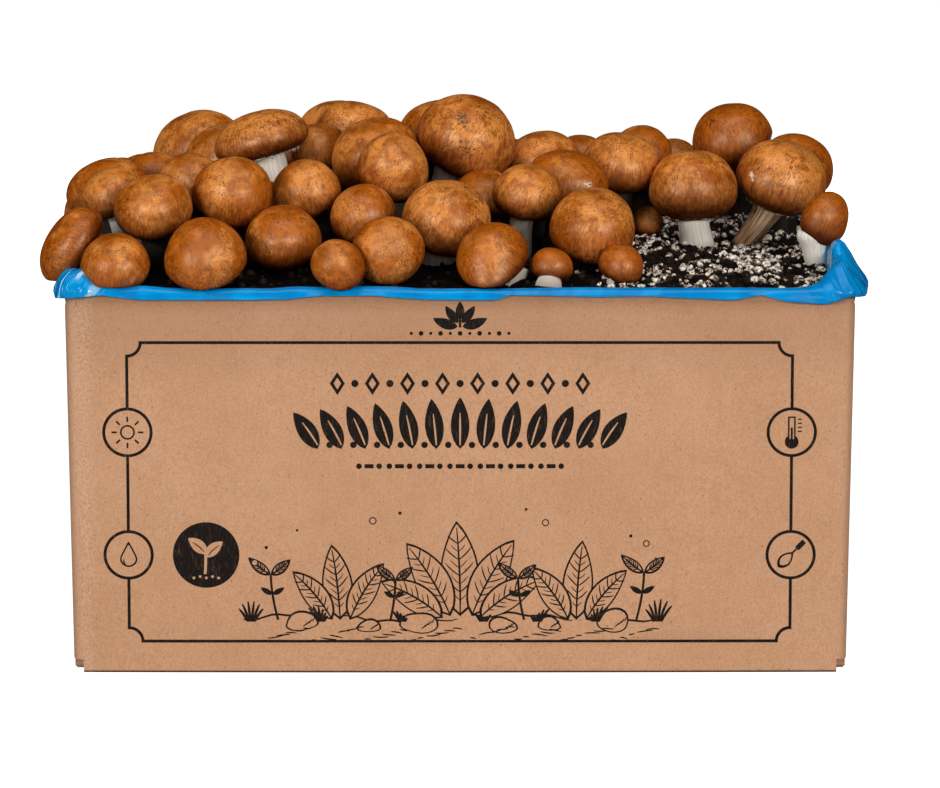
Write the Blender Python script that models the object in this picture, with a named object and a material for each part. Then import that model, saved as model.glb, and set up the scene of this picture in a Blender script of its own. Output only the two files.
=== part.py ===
"""Chestnut mushroom grow kit: a kraft carton, a blue film liner folded over its rim, the casing soil
and the crop of closed-cup mushrooms that stands on it. Metres, +Z up, front face towards -Y.
The origin is the middle of the carton's footprint, on the surface that it stands on."""

import math

import bmesh
import bpy
import numpy as np

MM = 0.001

# Carton, a slotted box of single-wall board
CARTON_WIDTH = 400 * MM
CARTON_DEPTH = 300 * MM
CARTON_HEIGHT = 198 * MM
BOARD = 3.5 * MM
RIM_FLARE = 3 * MM
WALL_BOW = 1.5 * MM
CORNER_RADIUS = 6 * MM
INNER_CORNER_RADIUS = 2 * MM
RIM_EDGE = 1.2 * MM
FLAP_REACH = 150 * MM
FLAP_LINE_WIDTH = 2.4 * MM
FLAP_LINE_DEPTH = 0.35 * MM
CORNER_SLOT = 5.2 * MM
CORNER_SLOT_HEIGHT = 7 * MM

# Film liner, drawn thicker than real film so that it is a solid
FILM = 1.0 * MM
FILM_DROP = 4 * MM
FILM_CORNER_DROP = 3 * MM
FILM_CORNER_SWELL = 3 * MM
FILM_CORNER_REACH = 28 * MM
FILM_BAG_RADIUS = 2.6 * MM
FILM_BAG_INNER_RADIUS = 2.0 * MM
FILM_HANG_INNER_RADIUS = 6.4 * MM
FILM_HANG_RADIUS = 7.4 * MM
GAP = 0.3 * MM

# Casing soil
SOIL_EDGE_HEIGHT = 198 * MM
SOIL_CROWN = 9 * MM
SOIL_HEAP = 8 * MM
SOIL_HEAP_START_Y = -20 * MM
SOIL_HEAP_FULL_Y = 90 * MM
SOIL_SHOULDER = 3 * MM
SOIL_LUMP = 2.5 * MM
SOIL_LUMP_WAVES_X = 190
SOIL_LUMP_WAVES_Y = 230
SOIL_LUMP_SKEW = 60
SOIL_CELLS_X = 18
SOIL_CELLS_Y = 13
SOIL_CLEARANCE = 0.7 * MM

# Mushroom form
SEGMENTS = 10
RING_ANGLES = (34, 64, 90, 136)
DOME_SHARE = 0.6
STEM_SHARE = 0.37
STEM_EXTRA = 0.8 * MM
STEM_FLARE = 1.12
STEM_TOP_SHARE = 0.62
STEM_BEND = 0.45
FOOT_GAP = 0.5 * MM
FEET_APART = 3 * MM
FEET_FROM_FILM = 1 * MM
OVAL_SHARE = 0.028
THREE_LOBE_SHARE = 0.016

# How the crowded crop presses together
SQUASH = 1.5 * MM
TOUCH_GAP = 0.4 * MM
PRESS_MARGIN = 0.008 * MM
SETTLE_PASSES = 60
SETTLE_GIVE = (0.3, 1.0, 0.3)
PRESS_PASSES = 14
PRESS_DIRECTIONS = 420
REST_GAP = 0.3 * MM
FILM_REST_GAP = 0.5 * MM

# Each row: place of the cap's widest level in millimetres (x, y, z), cap diameter in millimetres,
# cap height over diameter, direction that the crown leans to (0 right, 90 back) and lean, in degrees
MUSHROOMS = (
    (-197, -124, 217, 39, 0.78, 186, 60),
    (-180, -132, 211, 37, 0.76, 250, 25),
    (-187, -36, 237, 44, 0.70, 200, 14),
    (-181, -77, 239, 33, 0.76, 200, 22),
    (-161, -94, 235, 40, 0.76, 262, 25),
    (-143, -40, 242, 36, 0.78, 270, 15),
    (-165, 0, 240, 33, 0.80, 250, 10),
    (-144, 88, 246, 52, 0.76, 200, 22),
    (-127, 44, 246, 46, 0.74, 250, 20),
    (-107, 0, 262, 51, 0.52, 176, 16),
    (-119, -80, 241, 41, 0.80, 282, 35),
    (-131, -139, 214, 43, 0.80, 268, 60),
    (-92, -104, 219, 41, 0.76, 265, 15),
    (-81, -56, 239, 36, 0.84, 225, 25),
    (-68, 95, 254, 48, 0.70, 270, 10),
    (-58, 48, 261, 44, 0.68, 0, 10),
    (-77, 22, 254, 30, 0.84, 250, 15),
    (-45, -8, 253, 47, 0.76, 225, 28),
    (-36, -54, 251, 38, 0.86, 300, 45),
    (-50, -74, 229, 36, 0.80, 215, 28),
    (-38, -134, 217, 37, 0.88, 275, 60),
    (-61, -146, 211, 28, 0.98, 240, 55),
    (-7, -95, 228, 46, 0.80, 300, 25),
    (3, 0, 261, 53, 0.78, 318, 30),
    (-11, 57, 260, 47, 0.66, 180, 10),
    (17, -132, 213, 39, 0.78, 220, 40),
    (35, -65, 238, 36, 0.80, 320, 15),
    (46, 15, 248, 40, 0.72, 270, 12),
    (65, 70, 241, 34, 0.84, 280, 10),
    (57, -25, 241, 45, 0.66, 300, 10),
    (69, -101, 225, 46, 0.78, 280, 25),
    (47, -131, 209, 22, 0.76, 0, 8),
    (83, -128, 209, 24, 0.78, 320, 22),
    (102, 8, 216, 16, 0.98, 270, 10),
    (86, 2, 247, 43, 0.72, 290, 10),
    (100, 55, 248, 34, 0.84, 280, 8),
    (119, 95, 239, 29, 0.84, 270, 8),
    (125, -12, 235, 48, 0.78, 95, 4),
    (151, 62, 255, 46, 0.76, 195, 14),
    (185, 58, 241, 41, 0.76, 10, 25),
    (173, 3, 239, 51, 0.74, 335, 24),
    (192, -60, 224, 25, 1.14, 350, 22),
    (-178, 120, 225, 40, 0.74, 120, 15),
    (-133, 127, 226, 38, 0.76, 95, 12),
    (-98, 124, 236, 36, 0.78, 80, 15),
    (-28, 120, 238, 44, 0.72, 100, 10),
    (18, 124, 234, 42, 0.74, 85, 14),
    (64, 119, 231, 43, 0.72, 75, 12),
    (105, 122, 228, 36, 0.78, 90, 20),
    (-186, 46, 230, 38, 0.78, 170, 20),
    (-198, 6, 222, 33, 0.80, 185, 25),
    (-64, 131, 230, 34, 0.78, 100, 16),
    (142, 112, 229, 38, 0.78, 100, 15),
    (34, 80, 237, 42, 0.72, 60, 8),
    (-106, -36, 228, 35, 0.76, 200, 10),
    (13, -30, 233, 34, 0.80, 250, 12),
    (178, 108, 226, 37, 0.80, 60, 20),
)

# Stems that slant more than their caps lean: how far their feet stand off, in millimetres (x, y)
SLANTED_STEMS = {31: (-6, -4), 38: (3, 0), 41: (-9, 2), 42: (5, 0)}


def direction(azimuth, lean):
    """Unit vector of a cap's axis, leaning by lean degrees towards azimuth."""
    turn, tip = math.radians(azimuth), math.radians(lean)
    return np.array([math.sin(tip) * math.cos(turn), math.sin(tip) * math.sin(turn), math.cos(tip)])


def smooth_step(low, high, value):
    t = min(max((value - low) / (high - low), 0.0), 1.0)
    return t * t * (3 - 2 * t)


def soil_form(x, y):
    """Height of the casing: domed, lower where the film holds its edge, lumpy where nothing grows."""
    half_x, half_y = CARTON_WIDTH / 2, CARTON_DEPTH / 2
    dome = max(0.0, 1 - (x / half_x) ** 4) * max(0.0, 1 - (y / half_y) ** 4)
    heap = SOIL_CROWN + SOIL_HEAP * smooth_step(SOIL_HEAP_START_Y, SOIL_HEAP_FULL_Y, y)
    bare = smooth_step(70 * MM, 100 * MM, x) * (1 - smooth_step(60 * MM, 100 * MM, y))
    swell = math.sin(x * SOIL_LUMP_WAVES_X) * math.cos(y * SOIL_LUMP_WAVES_Y + x * SOIL_LUMP_SKEW)
    return SOIL_EDGE_HEIGHT + heap * dome + SOIL_LUMP * bare * swell


def soil_half(height=SOIL_EDGE_HEIGHT):
    """Half sizes of the soil block inside the film, which widens with the carton."""
    inset = 2 * BOARD + FILM + 2 * GAP + SOIL_CLEARANCE
    flare = RIM_FLARE * height / CARTON_HEIGHT
    return CARTON_WIDTH / 2 + flare - inset, CARTON_DEPTH / 2 + flare / 2 - inset


def soil_node(i, j):
    """Top grid point i, j of the soil; the outermost ring is the shoulder that leans on the film."""
    half_x, half_y = soil_half()
    steps_x, steps_y = SOIL_CELLS_X - 2, SOIL_CELLS_Y - 2
    inner_x, inner_y = half_x - SOIL_SHOULDER, half_y - SOIL_SHOULDER
    x = -inner_x + 2 * inner_x * (min(max(i - 1, 0), steps_x)) / steps_x
    y = -inner_y + 2 * inner_y * (min(max(j - 1, 0), steps_y)) / steps_y
    z = soil_form(x, y)
    on_edge = i in (0, SOIL_CELLS_X) or j in (0, SOIL_CELLS_Y)
    if i in (0, SOIL_CELLS_X):
        x = math.copysign(half_x, x)
    if j in (0, SOIL_CELLS_Y):
        y = math.copysign(half_y, y)
    return np.array([x, y, z - (SOIL_SHOULDER if on_edge else 0.0)])


def soil_height(x, y):
    """Height of the faceted soil top, with the same diagonals as its mesh."""
    half_x, half_y = soil_half()
    inner_x, inner_y = half_x - SOIL_SHOULDER, half_y - SOIL_SHOULDER
    u = (x + inner_x) / (2 * inner_x) * (SOIL_CELLS_X - 2) + 1
    v = (y + inner_y) / (2 * inner_y) * (SOIL_CELLS_Y - 2) + 1
    i = min(max(int(u), 1), SOIL_CELLS_X - 2)
    j = min(max(int(v), 1), SOIL_CELLS_Y - 2)
    du, dv = min(max(u - i, 0.0), 1.0), min(max(v - j, 0.0), 1.0)
    low, high = soil_node(i, j)[2], soil_node(i + 1, j + 1)[2]
    if du > dv:
        corner = soil_node(i + 1, j)[2]
        return low + du * (corner - low) + dv * (high - corner)
    corner = soil_node(i, j + 1)[2]
    return low + dv * (corner - low) + du * (high - corner)


def reach(cap, way):
    """Distance from a cap's centre to its skin along the unit vector way."""
    along = float(way @ cap["axis"])
    tall = cap["dome"] if along > 0 else cap["under"]
    return 1 / math.sqrt(max(1 - along * along, 0.0) / cap["radius"] ** 2 + along * along / tall**2)


def settle(caps):
    """Crowded caps push each other apart, mostly in depth, until they only press together."""
    give = np.array(SETTLE_GIVE)
    for _ in range(SETTLE_PASSES):
        for a in range(len(caps)):
            for b in range(a + 1, len(caps)):
                apart = caps[b]["centre"] - caps[a]["centre"]
                length = np.linalg.norm(apart)
                way = apart / length
                press = reach(caps[a], way) + reach(caps[b], -way) - SQUASH - length
                if press > 0:
                    caps[a]["centre"] -= way * give * press / 2
                    caps[b]["centre"] += way * give * press / 2


def plant_feet(caps):
    """Puts each stem's foot behind its cap's lean, inside the film, and keeps the feet apart."""
    half_x, half_y = soil_half()
    for number, cap in enumerate(caps, 1):
        low = cap["centre"] - cap["axis"] * cap["under"]
        drop = max(low[2] - SOIL_EDGE_HEIGHT, 10 * MM)
        slant = cap["axis"][:2] / max(cap["axis"][2], 0.5)
        shift = np.array(SLANTED_STEMS.get(number, (0, 0))) * MM
        cap["foot"] = low[:2] - slant * drop * STEM_BEND + shift
    for _ in range(SETTLE_PASSES):
        for a in range(len(caps)):
            for b in range(a + 1, len(caps)):
                apart = caps[b]["foot"] - caps[a]["foot"]
                length = max(np.linalg.norm(apart), 1e-6)
                need = STEM_FLARE * (caps[a]["stem"] + caps[b]["stem"]) + FEET_APART - length
                if need > 0:
                    caps[a]["foot"] -= apart / length * need / 2
                    caps[b]["foot"] += apart / length * need / 2
        for cap in caps:
            keep = STEM_FLARE * cap["stem"] + SOIL_SHOULDER + FEET_FROM_FILM
            cap["foot"][0] = min(max(cap["foot"][0], keep - half_x), half_x - keep)
            cap["foot"][1] = min(max(cap["foot"][1], keep - half_y), half_y - keep)


def grown():
    """The crop as a list of caps with their settled places, axes, sizes and stem feet."""
    caps = []
    for x, y, z, diameter, squat, azimuth, lean in MUSHROOMS:
        radius = diameter * MM / 2
        tall = squat * diameter * MM
        caps.append(
            {
                "centre": np.array([x, y, z]) * MM,
                "axis": direction(azimuth, lean),
                "radius": radius,
                "dome": tall * DOME_SHARE,
                "under": tall * (1 - DOME_SHARE),
                "stem": radius * STEM_SHARE + STEM_EXTRA,
                "turn": (x * 7 + y * 3) % 360,
            }
        )
    settle(caps)
    plant_feet(caps)
    return caps


def across(axis):
    """Two unit vectors that span the plane square to axis."""
    side = np.cross(axis, [0.0, 1.0, 0.0])
    side = side / np.linalg.norm(side)
    return side, np.cross(axis, side)


def lump(cap, angle):
    """Share by which a cap is wider or narrower than round at this angle about its axis."""
    turn = math.radians(cap["turn"])
    oval = OVAL_SHARE * math.cos(2 * angle - turn)
    return 1 + oval + THREE_LOBE_SHARE * math.cos(3 * angle + 2 * turn)


def circle(centre, axis, radius, cap=None):
    side, other = across(axis)
    points = []
    for k in range(SEGMENTS):
        angle = 2 * math.pi * k / SEGMENTS
        r = radius * (lump(cap, angle) if cap else 1)
        points.append(centre + r * (math.cos(angle) * side + math.sin(angle) * other))
    return points


def stem_path(cap):
    """Top of the stem under the cap, its bend, and its foot on the soil."""
    top = cap["centre"] - cap["axis"] * cap["under"] * STEM_TOP_SHARE
    x, y = cap["foot"]
    foot = np.array([x, y, soil_height(x, y) + FOOT_GAP])
    bend = top - cap["axis"] * np.linalg.norm(top - foot) * STEM_BEND
    bend[2] = max(bend[2], foot[2] + 0.3 * (top[2] - foot[2]))
    return top, bend, foot


def mushroom_points(cap):
    """Points of one mushroom: crown, cap rings, the stem's three rings and the middle of its foot."""
    axis, centre = cap["axis"], cap["centre"]
    points = [centre + axis * cap["dome"]]
    for degrees in RING_ANGLES:
        theta = math.radians(degrees)
        tall = cap["dome"] if degrees <= 90 else cap["under"]
        level = centre + axis * tall * math.cos(theta)
        points += circle(level, axis, cap["radius"] * math.sin(theta), cap)
    top, bend, foot = stem_path(cap)
    middle = 0.25 * top + 0.5 * bend + 0.25 * foot
    lean = axis + np.array([0.0, 0.0, 1.0])
    points += circle(top, axis, cap["stem"])
    points += circle(middle, lean / np.linalg.norm(lean), cap["stem"])
    for point in circle(foot, np.array([0.0, 0.0, 1.0]), cap["stem"] * STEM_FLARE):
        point[2] = soil_height(point[0], point[1]) + FOOT_GAP
        points.append(point)
    points.append(foot)
    return np.array(points)


def mushroom_bands():
    """First index of each ring of points, and the index of the middle of the foot."""
    first = [1 + SEGMENTS * k for k in range(len(RING_ANGLES) + 3)]
    return first, first[-1] + SEGMENTS


def components():
    """Point indices of the cap and of the stem's two lengths, each one treated as convex."""
    first, last = mushroom_bands()
    cap_end = first[-2]
    return (
        np.arange(0, cap_end),
        np.arange(first[-3], first[-1]),
        np.arange(first[-2], last + 1),
    )


def spread_directions():
    """Unit vectors spread evenly over a sphere along a golden-angle spiral."""
    k = np.arange(PRESS_DIRECTIONS) + 0.5
    z = 1 - 2 * k / PRESS_DIRECTIONS
    angle = k * math.pi * (3 - math.sqrt(5))
    flat = np.sqrt(1 - z * z)
    return np.stack([flat * np.cos(angle), flat * np.sin(angle), z], 1)


def press_apart(bodies):
    """Flattens touching mushrooms against each other, so that every two keep TOUCH_GAP between them."""
    ways = spread_directions()
    groups = [(m, c) for m in range(len(bodies)) for c in components()]
    for _ in range(PRESS_PASSES):
        moved = 0.0
        balls = []
        for m, c in groups:
            middle = bodies[m][c].mean(0)
            balls.append((middle, np.linalg.norm(bodies[m][c] - middle, axis=1).max()))
        for a, (m, first) in enumerate(groups):
            for b in range(a + 1, len(groups)):
                n, second = groups[b]
                apart = balls[b][0] - balls[a][0]
                if m == n or np.linalg.norm(apart) > balls[a][1] + balls[b][1] + TOUCH_GAP:
                    continue
                tried = np.vstack([ways, apart / np.linalg.norm(apart)])
                top = (tried @ bodies[m][first].T).max(1)
                bottom = (tried @ bodies[n][second].T).min(1)
                best = int(np.argmax(bottom - top))
                if bottom[best] - top[best] >= TOUCH_GAP:
                    continue
                way, level = tried[best], (top[best] + bottom[best]) / 2
                for body, part, sign in ((m, first, 1.0), (n, second, -1.0)):
                    limit = sign * level - TOUCH_GAP / 2 - PRESS_MARGIN
                    over = np.clip(bodies[body][part] @ (way * sign) - limit, 0, None)
                    bodies[body][part] -= over[:, None] * way * sign
                    moved = max(moved, float(over.max()))
        keep_clear(bodies)
        if moved == 0.0:
            return


def keep_clear(bodies):
    """Lifts cap points that would sink into the soil or the folded film, and feet back onto the soil."""
    half_x, half_y = soil_half()
    first, last = mushroom_bands()
    film_top = CARTON_HEIGHT + GAP + FILM + FILM_REST_GAP
    for points in bodies:
        for k in range(last + 1):
            x, y = points[k][:2]
            over_soil = abs(x) < half_x - SOIL_SHOULDER and abs(y) < half_y - SOIL_SHOULDER
            floor = soil_height(x, y) + FOOT_GAP if over_soil else film_top
            if k >= first[-1]:
                points[k][2] = soil_height(x, y) + FOOT_GAP
            elif points[k][2] < floor + REST_GAP:
                points[k][2] = floor + REST_GAP


def mushroom_faces():
    first, last = mushroom_bands()
    faces = []
    for k in range(SEGMENTS):
        after = (k + 1) % SEGMENTS
        faces.append((0, first[0] + k, first[0] + after))
        for upper, lower in zip(first, first[1:]):
            faces.append((upper + k, lower + k, lower + after))
            faces.append((upper + k, lower + after, upper + after))
        faces.append((first[-1] + k, last, first[-1] + after))
    return faces


def material(name, colour, roughness):
    made = bpy.data.materials.new(name)
    made.use_nodes = True
    shader = made.node_tree.nodes["Principled BSDF"]
    shader.inputs["Base Color"].default_value = (*colour, 1)
    shader.inputs["Roughness"].default_value = roughness
    shader.inputs["Metallic"].default_value = 0.0
    return made


def add_object(name, points, faces, finish, smooth=40):
    """A mesh object from points and faces, its normals facing out."""
    mesh = bpy.data.meshes.new(name)
    mesh.from_pydata([tuple(float(v) for v in p) for p in points], [], faces)
    work = bmesh.new()
    work.from_mesh(mesh)
    bmesh.ops.recalc_face_normals(work, faces=work.faces)
    work.to_mesh(mesh)
    work.free()
    mesh.shade_smooth()
    mesh.set_sharp_from_angle(angle=math.radians(smooth))
    mesh.materials.append(finish)
    made = bpy.data.objects.new(name, mesh)
    bpy.context.scene.collection.objects.link(made)
    return made


def section(half_x, half_y, radius, z, steps=(4, 3), arc=3):
    """One level of the carton: a round-cornered rectangle whose sides bow out, anticlockwise from +X."""
    points = []
    corners = ((1, -1, -90), (1, 1, 0), (-1, 1, 90), (-1, -1, 180))
    for index, (sign_x, sign_y, start) in enumerate(corners):
        centre_x, centre_y = sign_x * (half_x - radius), sign_y * (half_y - radius)
        for k in range(arc + 1):
            angle = math.radians(start + 90 * k / arc)
            points.append((centre_x + radius * math.cos(angle), centre_y + radius * math.sin(angle)))
        along_y = index in (0, 2)
        count = steps[1] if along_y else steps[0]
        for k in range(1, count):
            share = 2 * k / count - 1
            out = WALL_BOW * (1 - share * share)
            if along_y:
                points.append((sign_x * (half_x + out), sign_x * share * (half_y - radius)))
            else:
                points.append((-sign_y * share * (half_x - radius), sign_y * (half_y + out)))
    return [(x, y, z) for x, y in points]


def loft(name, rings, finish):
    """A closed solid through rings of equal count, with flat ends."""
    count = len(rings[0])
    points = [p for ring in rings for p in ring]
    faces = []
    for level in range(len(rings) - 1):
        for k in range(count):
            after = (k + 1) % count
            lower, upper = level * count, (level + 1) * count
            faces.append((lower + k, lower + after, upper + after, upper + k))
    faces.append(tuple(reversed(range(count))))
    faces.append(tuple(range(len(points) - count, len(points))))
    return add_object(name, points, faces, finish)


def carton_level(z, inset, radius=None):
    """Carton section at height z, moved in by inset from its outer face."""
    share = z / CARTON_HEIGHT
    flare = RIM_FLARE * share
    corner = max(CORNER_RADIUS - inset, INNER_CORNER_RADIUS) if radius is None else radius
    return section(CARTON_WIDTH / 2 + flare - inset, CARTON_DEPTH / 2 + flare / 2 - inset, corner, z)


def slot_cutter(name, centre, size):
    bpy.ops.mesh.primitive_cube_add(size=1, location=centre)
    cutter = bpy.context.active_object
    cutter.name = name
    cutter.scale = size
    bpy.ops.object.transform_apply(location=False, rotation=False, scale=True)
    cutter.hide_render = True
    cutter.display_type = "WIRE"
    return cutter


def build_carton(finish):
    """Walls that are double where the top flaps are tucked in, and a floor of crossed flaps."""
    top, edge = CARTON_HEIGHT, RIM_EDGE
    double = 2 * BOARD
    flap_end = top - FLAP_REACH
    outside = [carton_level(0.0, edge)]
    outside += [carton_level(z, 0.0) for z in (edge, top / 3, 2 * top / 3, top - edge)]
    rim = [carton_level(top, edge), carton_level(top, double - edge)]
    inside = [carton_level(top - edge, double), carton_level(flap_end, double)]
    inside += [carton_level(flap_end - edge, BOARD), carton_level(double, BOARD)]
    carton = loft("carton", outside + rim + inside, finish)

    cutters = []
    slot_size = (2 * CORNER_SLOT, 2 * CORNER_SLOT, 2 * CORNER_SLOT_HEIGHT)
    line_size = (FLAP_LINE_WIDTH, CARTON_DEPTH, 2 * FLAP_LINE_DEPTH)
    for side in (-1, 1):
        for end in (-1, 1):
            place = (side * CARTON_WIDTH / 2, end * CARTON_DEPTH / 2, 0)
            cutters.append(slot_cutter("corner_slot", place, slot_size))
        place = (side * CARTON_WIDTH / 2, 0, BOARD)
        cutters.append(slot_cutter("flap_line", place, line_size))
    for index, cutter in enumerate(cutters):
        cut = carton.modifiers.new(f"cut_{index}", "BOOLEAN")
        cut.operation = "DIFFERENCE"
        cut.solver = "EXACT"
        cut.object = cutter
    return carton


def corner_share(x, y):
    """1 at the carton's corners, falling to 0 away from them."""
    away = math.hypot(CARTON_WIDTH / 2 - abs(x), CARTON_DEPTH / 2 - abs(y))
    return math.exp(-((away / FILM_CORNER_REACH) ** 2))


def film_level(z, inset, radius, hang=False):
    """A level of the film; the part that hangs outside swells and drops at the corners."""
    ring = []
    for x, y, height in carton_level(z, inset, radius):
        near = corner_share(x, y)
        if hang:
            height -= FILM_CORNER_DROP * near
        if inset < 0:
            x += math.copysign(FILM_CORNER_SWELL * near, x)
            y += math.copysign(FILM_CORNER_SWELL * near, y)
        ring.append((x, y, height))
    return ring


def build_liner(finish):
    """A bag in the carton, from its floor, up the walls, over the rim and a little way down outside."""
    wall, top, floor = 2 * BOARD, CARTON_HEIGHT + GAP, 2 * BOARD + GAP
    ledge = top - GAP - FLAP_REACH
    out, far = -GAP, -GAP - FILM
    bag, bag_inner = FILM_BAG_RADIUS, FILM_BAG_INNER_RADIUS
    hang_inner, hang = FILM_HANG_INNER_RADIUS, FILM_HANG_RADIUS
    outer = [film_level(z, wall + GAP, bag) for z in (floor, ledge, top)]
    outer += [film_level(top, out, hang_inner)]
    outer += [film_level(top - FILM_DROP, out, hang_inner, hang=True)]
    inner = [film_level(top - FILM_DROP, far, hang, hang=True)]
    inner += [film_level(top + FILM * 0.4, far, hang)]
    inner += [film_level(top + FILM, far + FILM * 0.6, hang - FILM * 0.4)]
    inner += [film_level(top + FILM, wall, bag_inner)]
    inner += [film_level(z, wall + GAP + FILM, bag_inner) for z in (top, floor + FILM)]
    return loft("film_liner", outer + inner, finish)


def build_soil(finish):
    """The filled bag's content as one block, its top a low dome of casing soil."""
    columns, rows = SOIL_CELLS_X + 1, SOIL_CELLS_Y + 1
    points = [soil_node(i, j) for j in range(rows) for i in range(columns)]
    faces = []
    for j in range(rows - 1):
        for i in range(columns - 1):
            a = j * columns + i
            b, c, d = a + 1, a + columns, a + columns + 1
            faces += [(a, b, d), (a, d, c)]
    edge = [(i, 0) for i in range(columns)] + [(columns - 1, j) for j in range(1, rows)]
    edge += [(i, rows - 1) for i in range(columns - 2, -1, -1)] + [(0, j) for j in range(rows - 2, 0, -1)]
    bottom = 2 * BOARD + 2 * GAP + FILM
    half_x, half_y = soil_half(bottom)
    corners = [(-half_x, -half_y), (half_x, -half_y), (half_x, half_y), (-half_x, half_y)]
    base = len(points)
    points += [np.array([x, y, bottom]) for x, y in corners]
    faces.append((base, base + 3, base + 2, base + 1))
    ring = [j * columns + i for i, j in edge]
    starts = (0, columns - 1, columns + rows - 2, 2 * columns + rows - 3)
    for side, start in enumerate(starts):
        end = starts[side + 1] if side < 3 else len(ring)
        above = [ring[k % len(ring)] for k in range(start, end + 1)]
        faces.append((base + side, base + (side + 1) % 4, *reversed(above)))
    return add_object("casing_soil", points, faces, finish, smooth=60)


def build_mushrooms(finish):
    bodies = [mushroom_points(cap) for cap in grown()]
    press_apart(bodies)
    for number, points in enumerate(bodies, 1):
        add_object(f"mushroom_{number:02d}", points, mushroom_faces(), finish, smooth=70)


def main():
    for old in list(bpy.data.objects):
        bpy.data.objects.remove(old)
    build_carton(material("kraft_board", (0.56, 0.33, 0.18), 0.85))
    build_liner(material("blue_film", (0.005, 0.22, 0.55), 0.3))
    build_soil(material("casing", (0.03, 0.022, 0.018), 0.95))
    build_mushrooms(material("cap_skin", (0.40, 0.17, 0.055), 0.5))


main()
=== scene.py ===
# Chestnut mushroom grow kit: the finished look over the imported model.
# Metres, +Z up, the printed front faces -Y, and the origin is the middle of the carton's footprint.
import math

import bmesh
import bpy
import numpy as np
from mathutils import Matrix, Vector
from mathutils.geometry import delaunay_2d_cdt


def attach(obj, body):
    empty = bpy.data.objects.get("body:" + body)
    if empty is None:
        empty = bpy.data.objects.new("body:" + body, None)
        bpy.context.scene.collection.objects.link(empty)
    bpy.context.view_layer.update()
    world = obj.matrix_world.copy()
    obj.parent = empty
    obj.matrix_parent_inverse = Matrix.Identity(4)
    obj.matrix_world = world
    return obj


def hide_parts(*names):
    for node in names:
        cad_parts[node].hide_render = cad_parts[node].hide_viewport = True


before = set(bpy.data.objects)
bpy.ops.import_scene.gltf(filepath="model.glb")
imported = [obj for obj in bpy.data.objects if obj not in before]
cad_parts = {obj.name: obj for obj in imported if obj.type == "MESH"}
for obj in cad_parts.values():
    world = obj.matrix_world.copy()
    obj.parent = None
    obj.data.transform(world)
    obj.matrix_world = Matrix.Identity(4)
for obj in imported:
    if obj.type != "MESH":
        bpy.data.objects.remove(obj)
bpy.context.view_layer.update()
mm = 0.001

# Camera

view = {
    "place": (0.0, -2.7946, 0.5315),
    "downDegrees": 8.3,
    "focalPixels": 5202.6,  # for a frame 940 pixels wide
    "frameWidth": 940,
    "rightPixels": 10,  # the frame's middle lies this far right of the carton's middle
    "sensor": 36,
    "clipEnd": 60,
}


def addObject(name, data):
    made = bpy.data.objects.new(name, data)
    bpy.context.scene.collection.objects.link(made)
    return made


def addCamera():
    data = bpy.data.cameras.new("photoCamera")
    data.sensor_width = view["sensor"]
    data.lens = view["focalPixels"] * view["sensor"] / view["frameWidth"]
    data.clip_end = view["clipEnd"]
    camera = addObject("photoCamera", data)
    camera.location = view["place"]
    turn = -math.atan(view["rightPixels"] / view["focalPixels"])
    camera.rotation_euler = (math.radians(90 - view["downDegrees"]), 0, turn)
    bpy.context.scene.camera = camera


addCamera()
print("camera placed")


# Small tools for shapes

def smoothStep(low, high, value):
    t = np.clip((value - low) / (high - low), 0.0, 1.0)
    return t * t * (3 - 2 * t)


def unit(way):
    return way / np.linalg.norm(way)


def flatSpots(x, y):
    return np.stack([x, y, np.zeros_like(x)], 1)


def latticeNoise(points, size, seed):  # smooth noise from -1 to 1, the same on every run
    place = np.asarray(points, float) / size + seed * 7.31
    cell = np.floor(place).astype(np.int64)
    part = place - cell
    part = part * part * (3 - 2 * part)
    total = np.zeros(len(place))
    for corner in range(8):
        step = np.array([corner & 1, corner >> 1 & 1, corner >> 2 & 1])
        spot = (cell + step) & 0xFFFF
        mixedUp = spot[:, 0] * 7393 ^ spot[:, 1] * 19349 ^ spot[:, 2] * 83492 ^ seed * 2654
        mixedUp = ((mixedUp ^ (mixedUp >> 7)) * 126271) & 0xFFFFFFF
        mixedUp = ((mixedUp ^ (mixedUp >> 11)) * 31337) & 0xFFFFFFF
        value = ((mixedUp >> 8) & 0xFFFF) / 32767.5 - 1
        total += np.prod(np.where(step, part, 1 - part), axis=1) * value
    return total


def addPiece(name, points, faces, finishes, faceFinish=None, attributes=None):
    mesh = bpy.data.meshes.new(name)
    mesh.from_pydata(np.asarray(points, float).tolist(), [], faces)
    for finish in finishes:
        mesh.materials.append(finish)
    if faceFinish is not None:
        mesh.polygons.foreach_set("material_index", np.asarray(faceFinish, np.int32))
    for label, (kind, values) in (attributes or {}).items():
        field = {"FLOAT": "value", "FLOAT_VECTOR": "vector", "FLOAT_COLOR": "color"}[kind]
        layer = mesh.attributes.new(label, kind, "POINT")
        layer.data.foreach_set(field, np.asarray(values, np.float32).ravel())
    mesh.shade_smooth()
    mesh.update()
    return addObject(name, mesh)


def bandFaces(rings, count, first=0):  # between rings of points that follow each other
    faces = []
    for low in range(first, first + (rings - 1) * count, count):
        high = low + count
        faces += [(low + k, high + k, high + (k + 1) % count, low + (k + 1) % count) for k in range(count)]
    return faces


def faceOutwards(piece, weld):
    work = bmesh.new()
    work.from_mesh(piece.data)
    bmesh.ops.remove_doubles(work, verts=work.verts, dist=weld)
    bmesh.ops.recalc_face_normals(work, faces=work.faces)
    work.to_mesh(piece.data)
    work.free()


def plainMesh(piece):  # the piece with its modifiers worked in
    graph = bpy.context.evaluated_depsgraph_get()
    return bpy.data.meshes.new_from_object(piece.evaluated_get(graph), depsgraph=graph)


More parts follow.
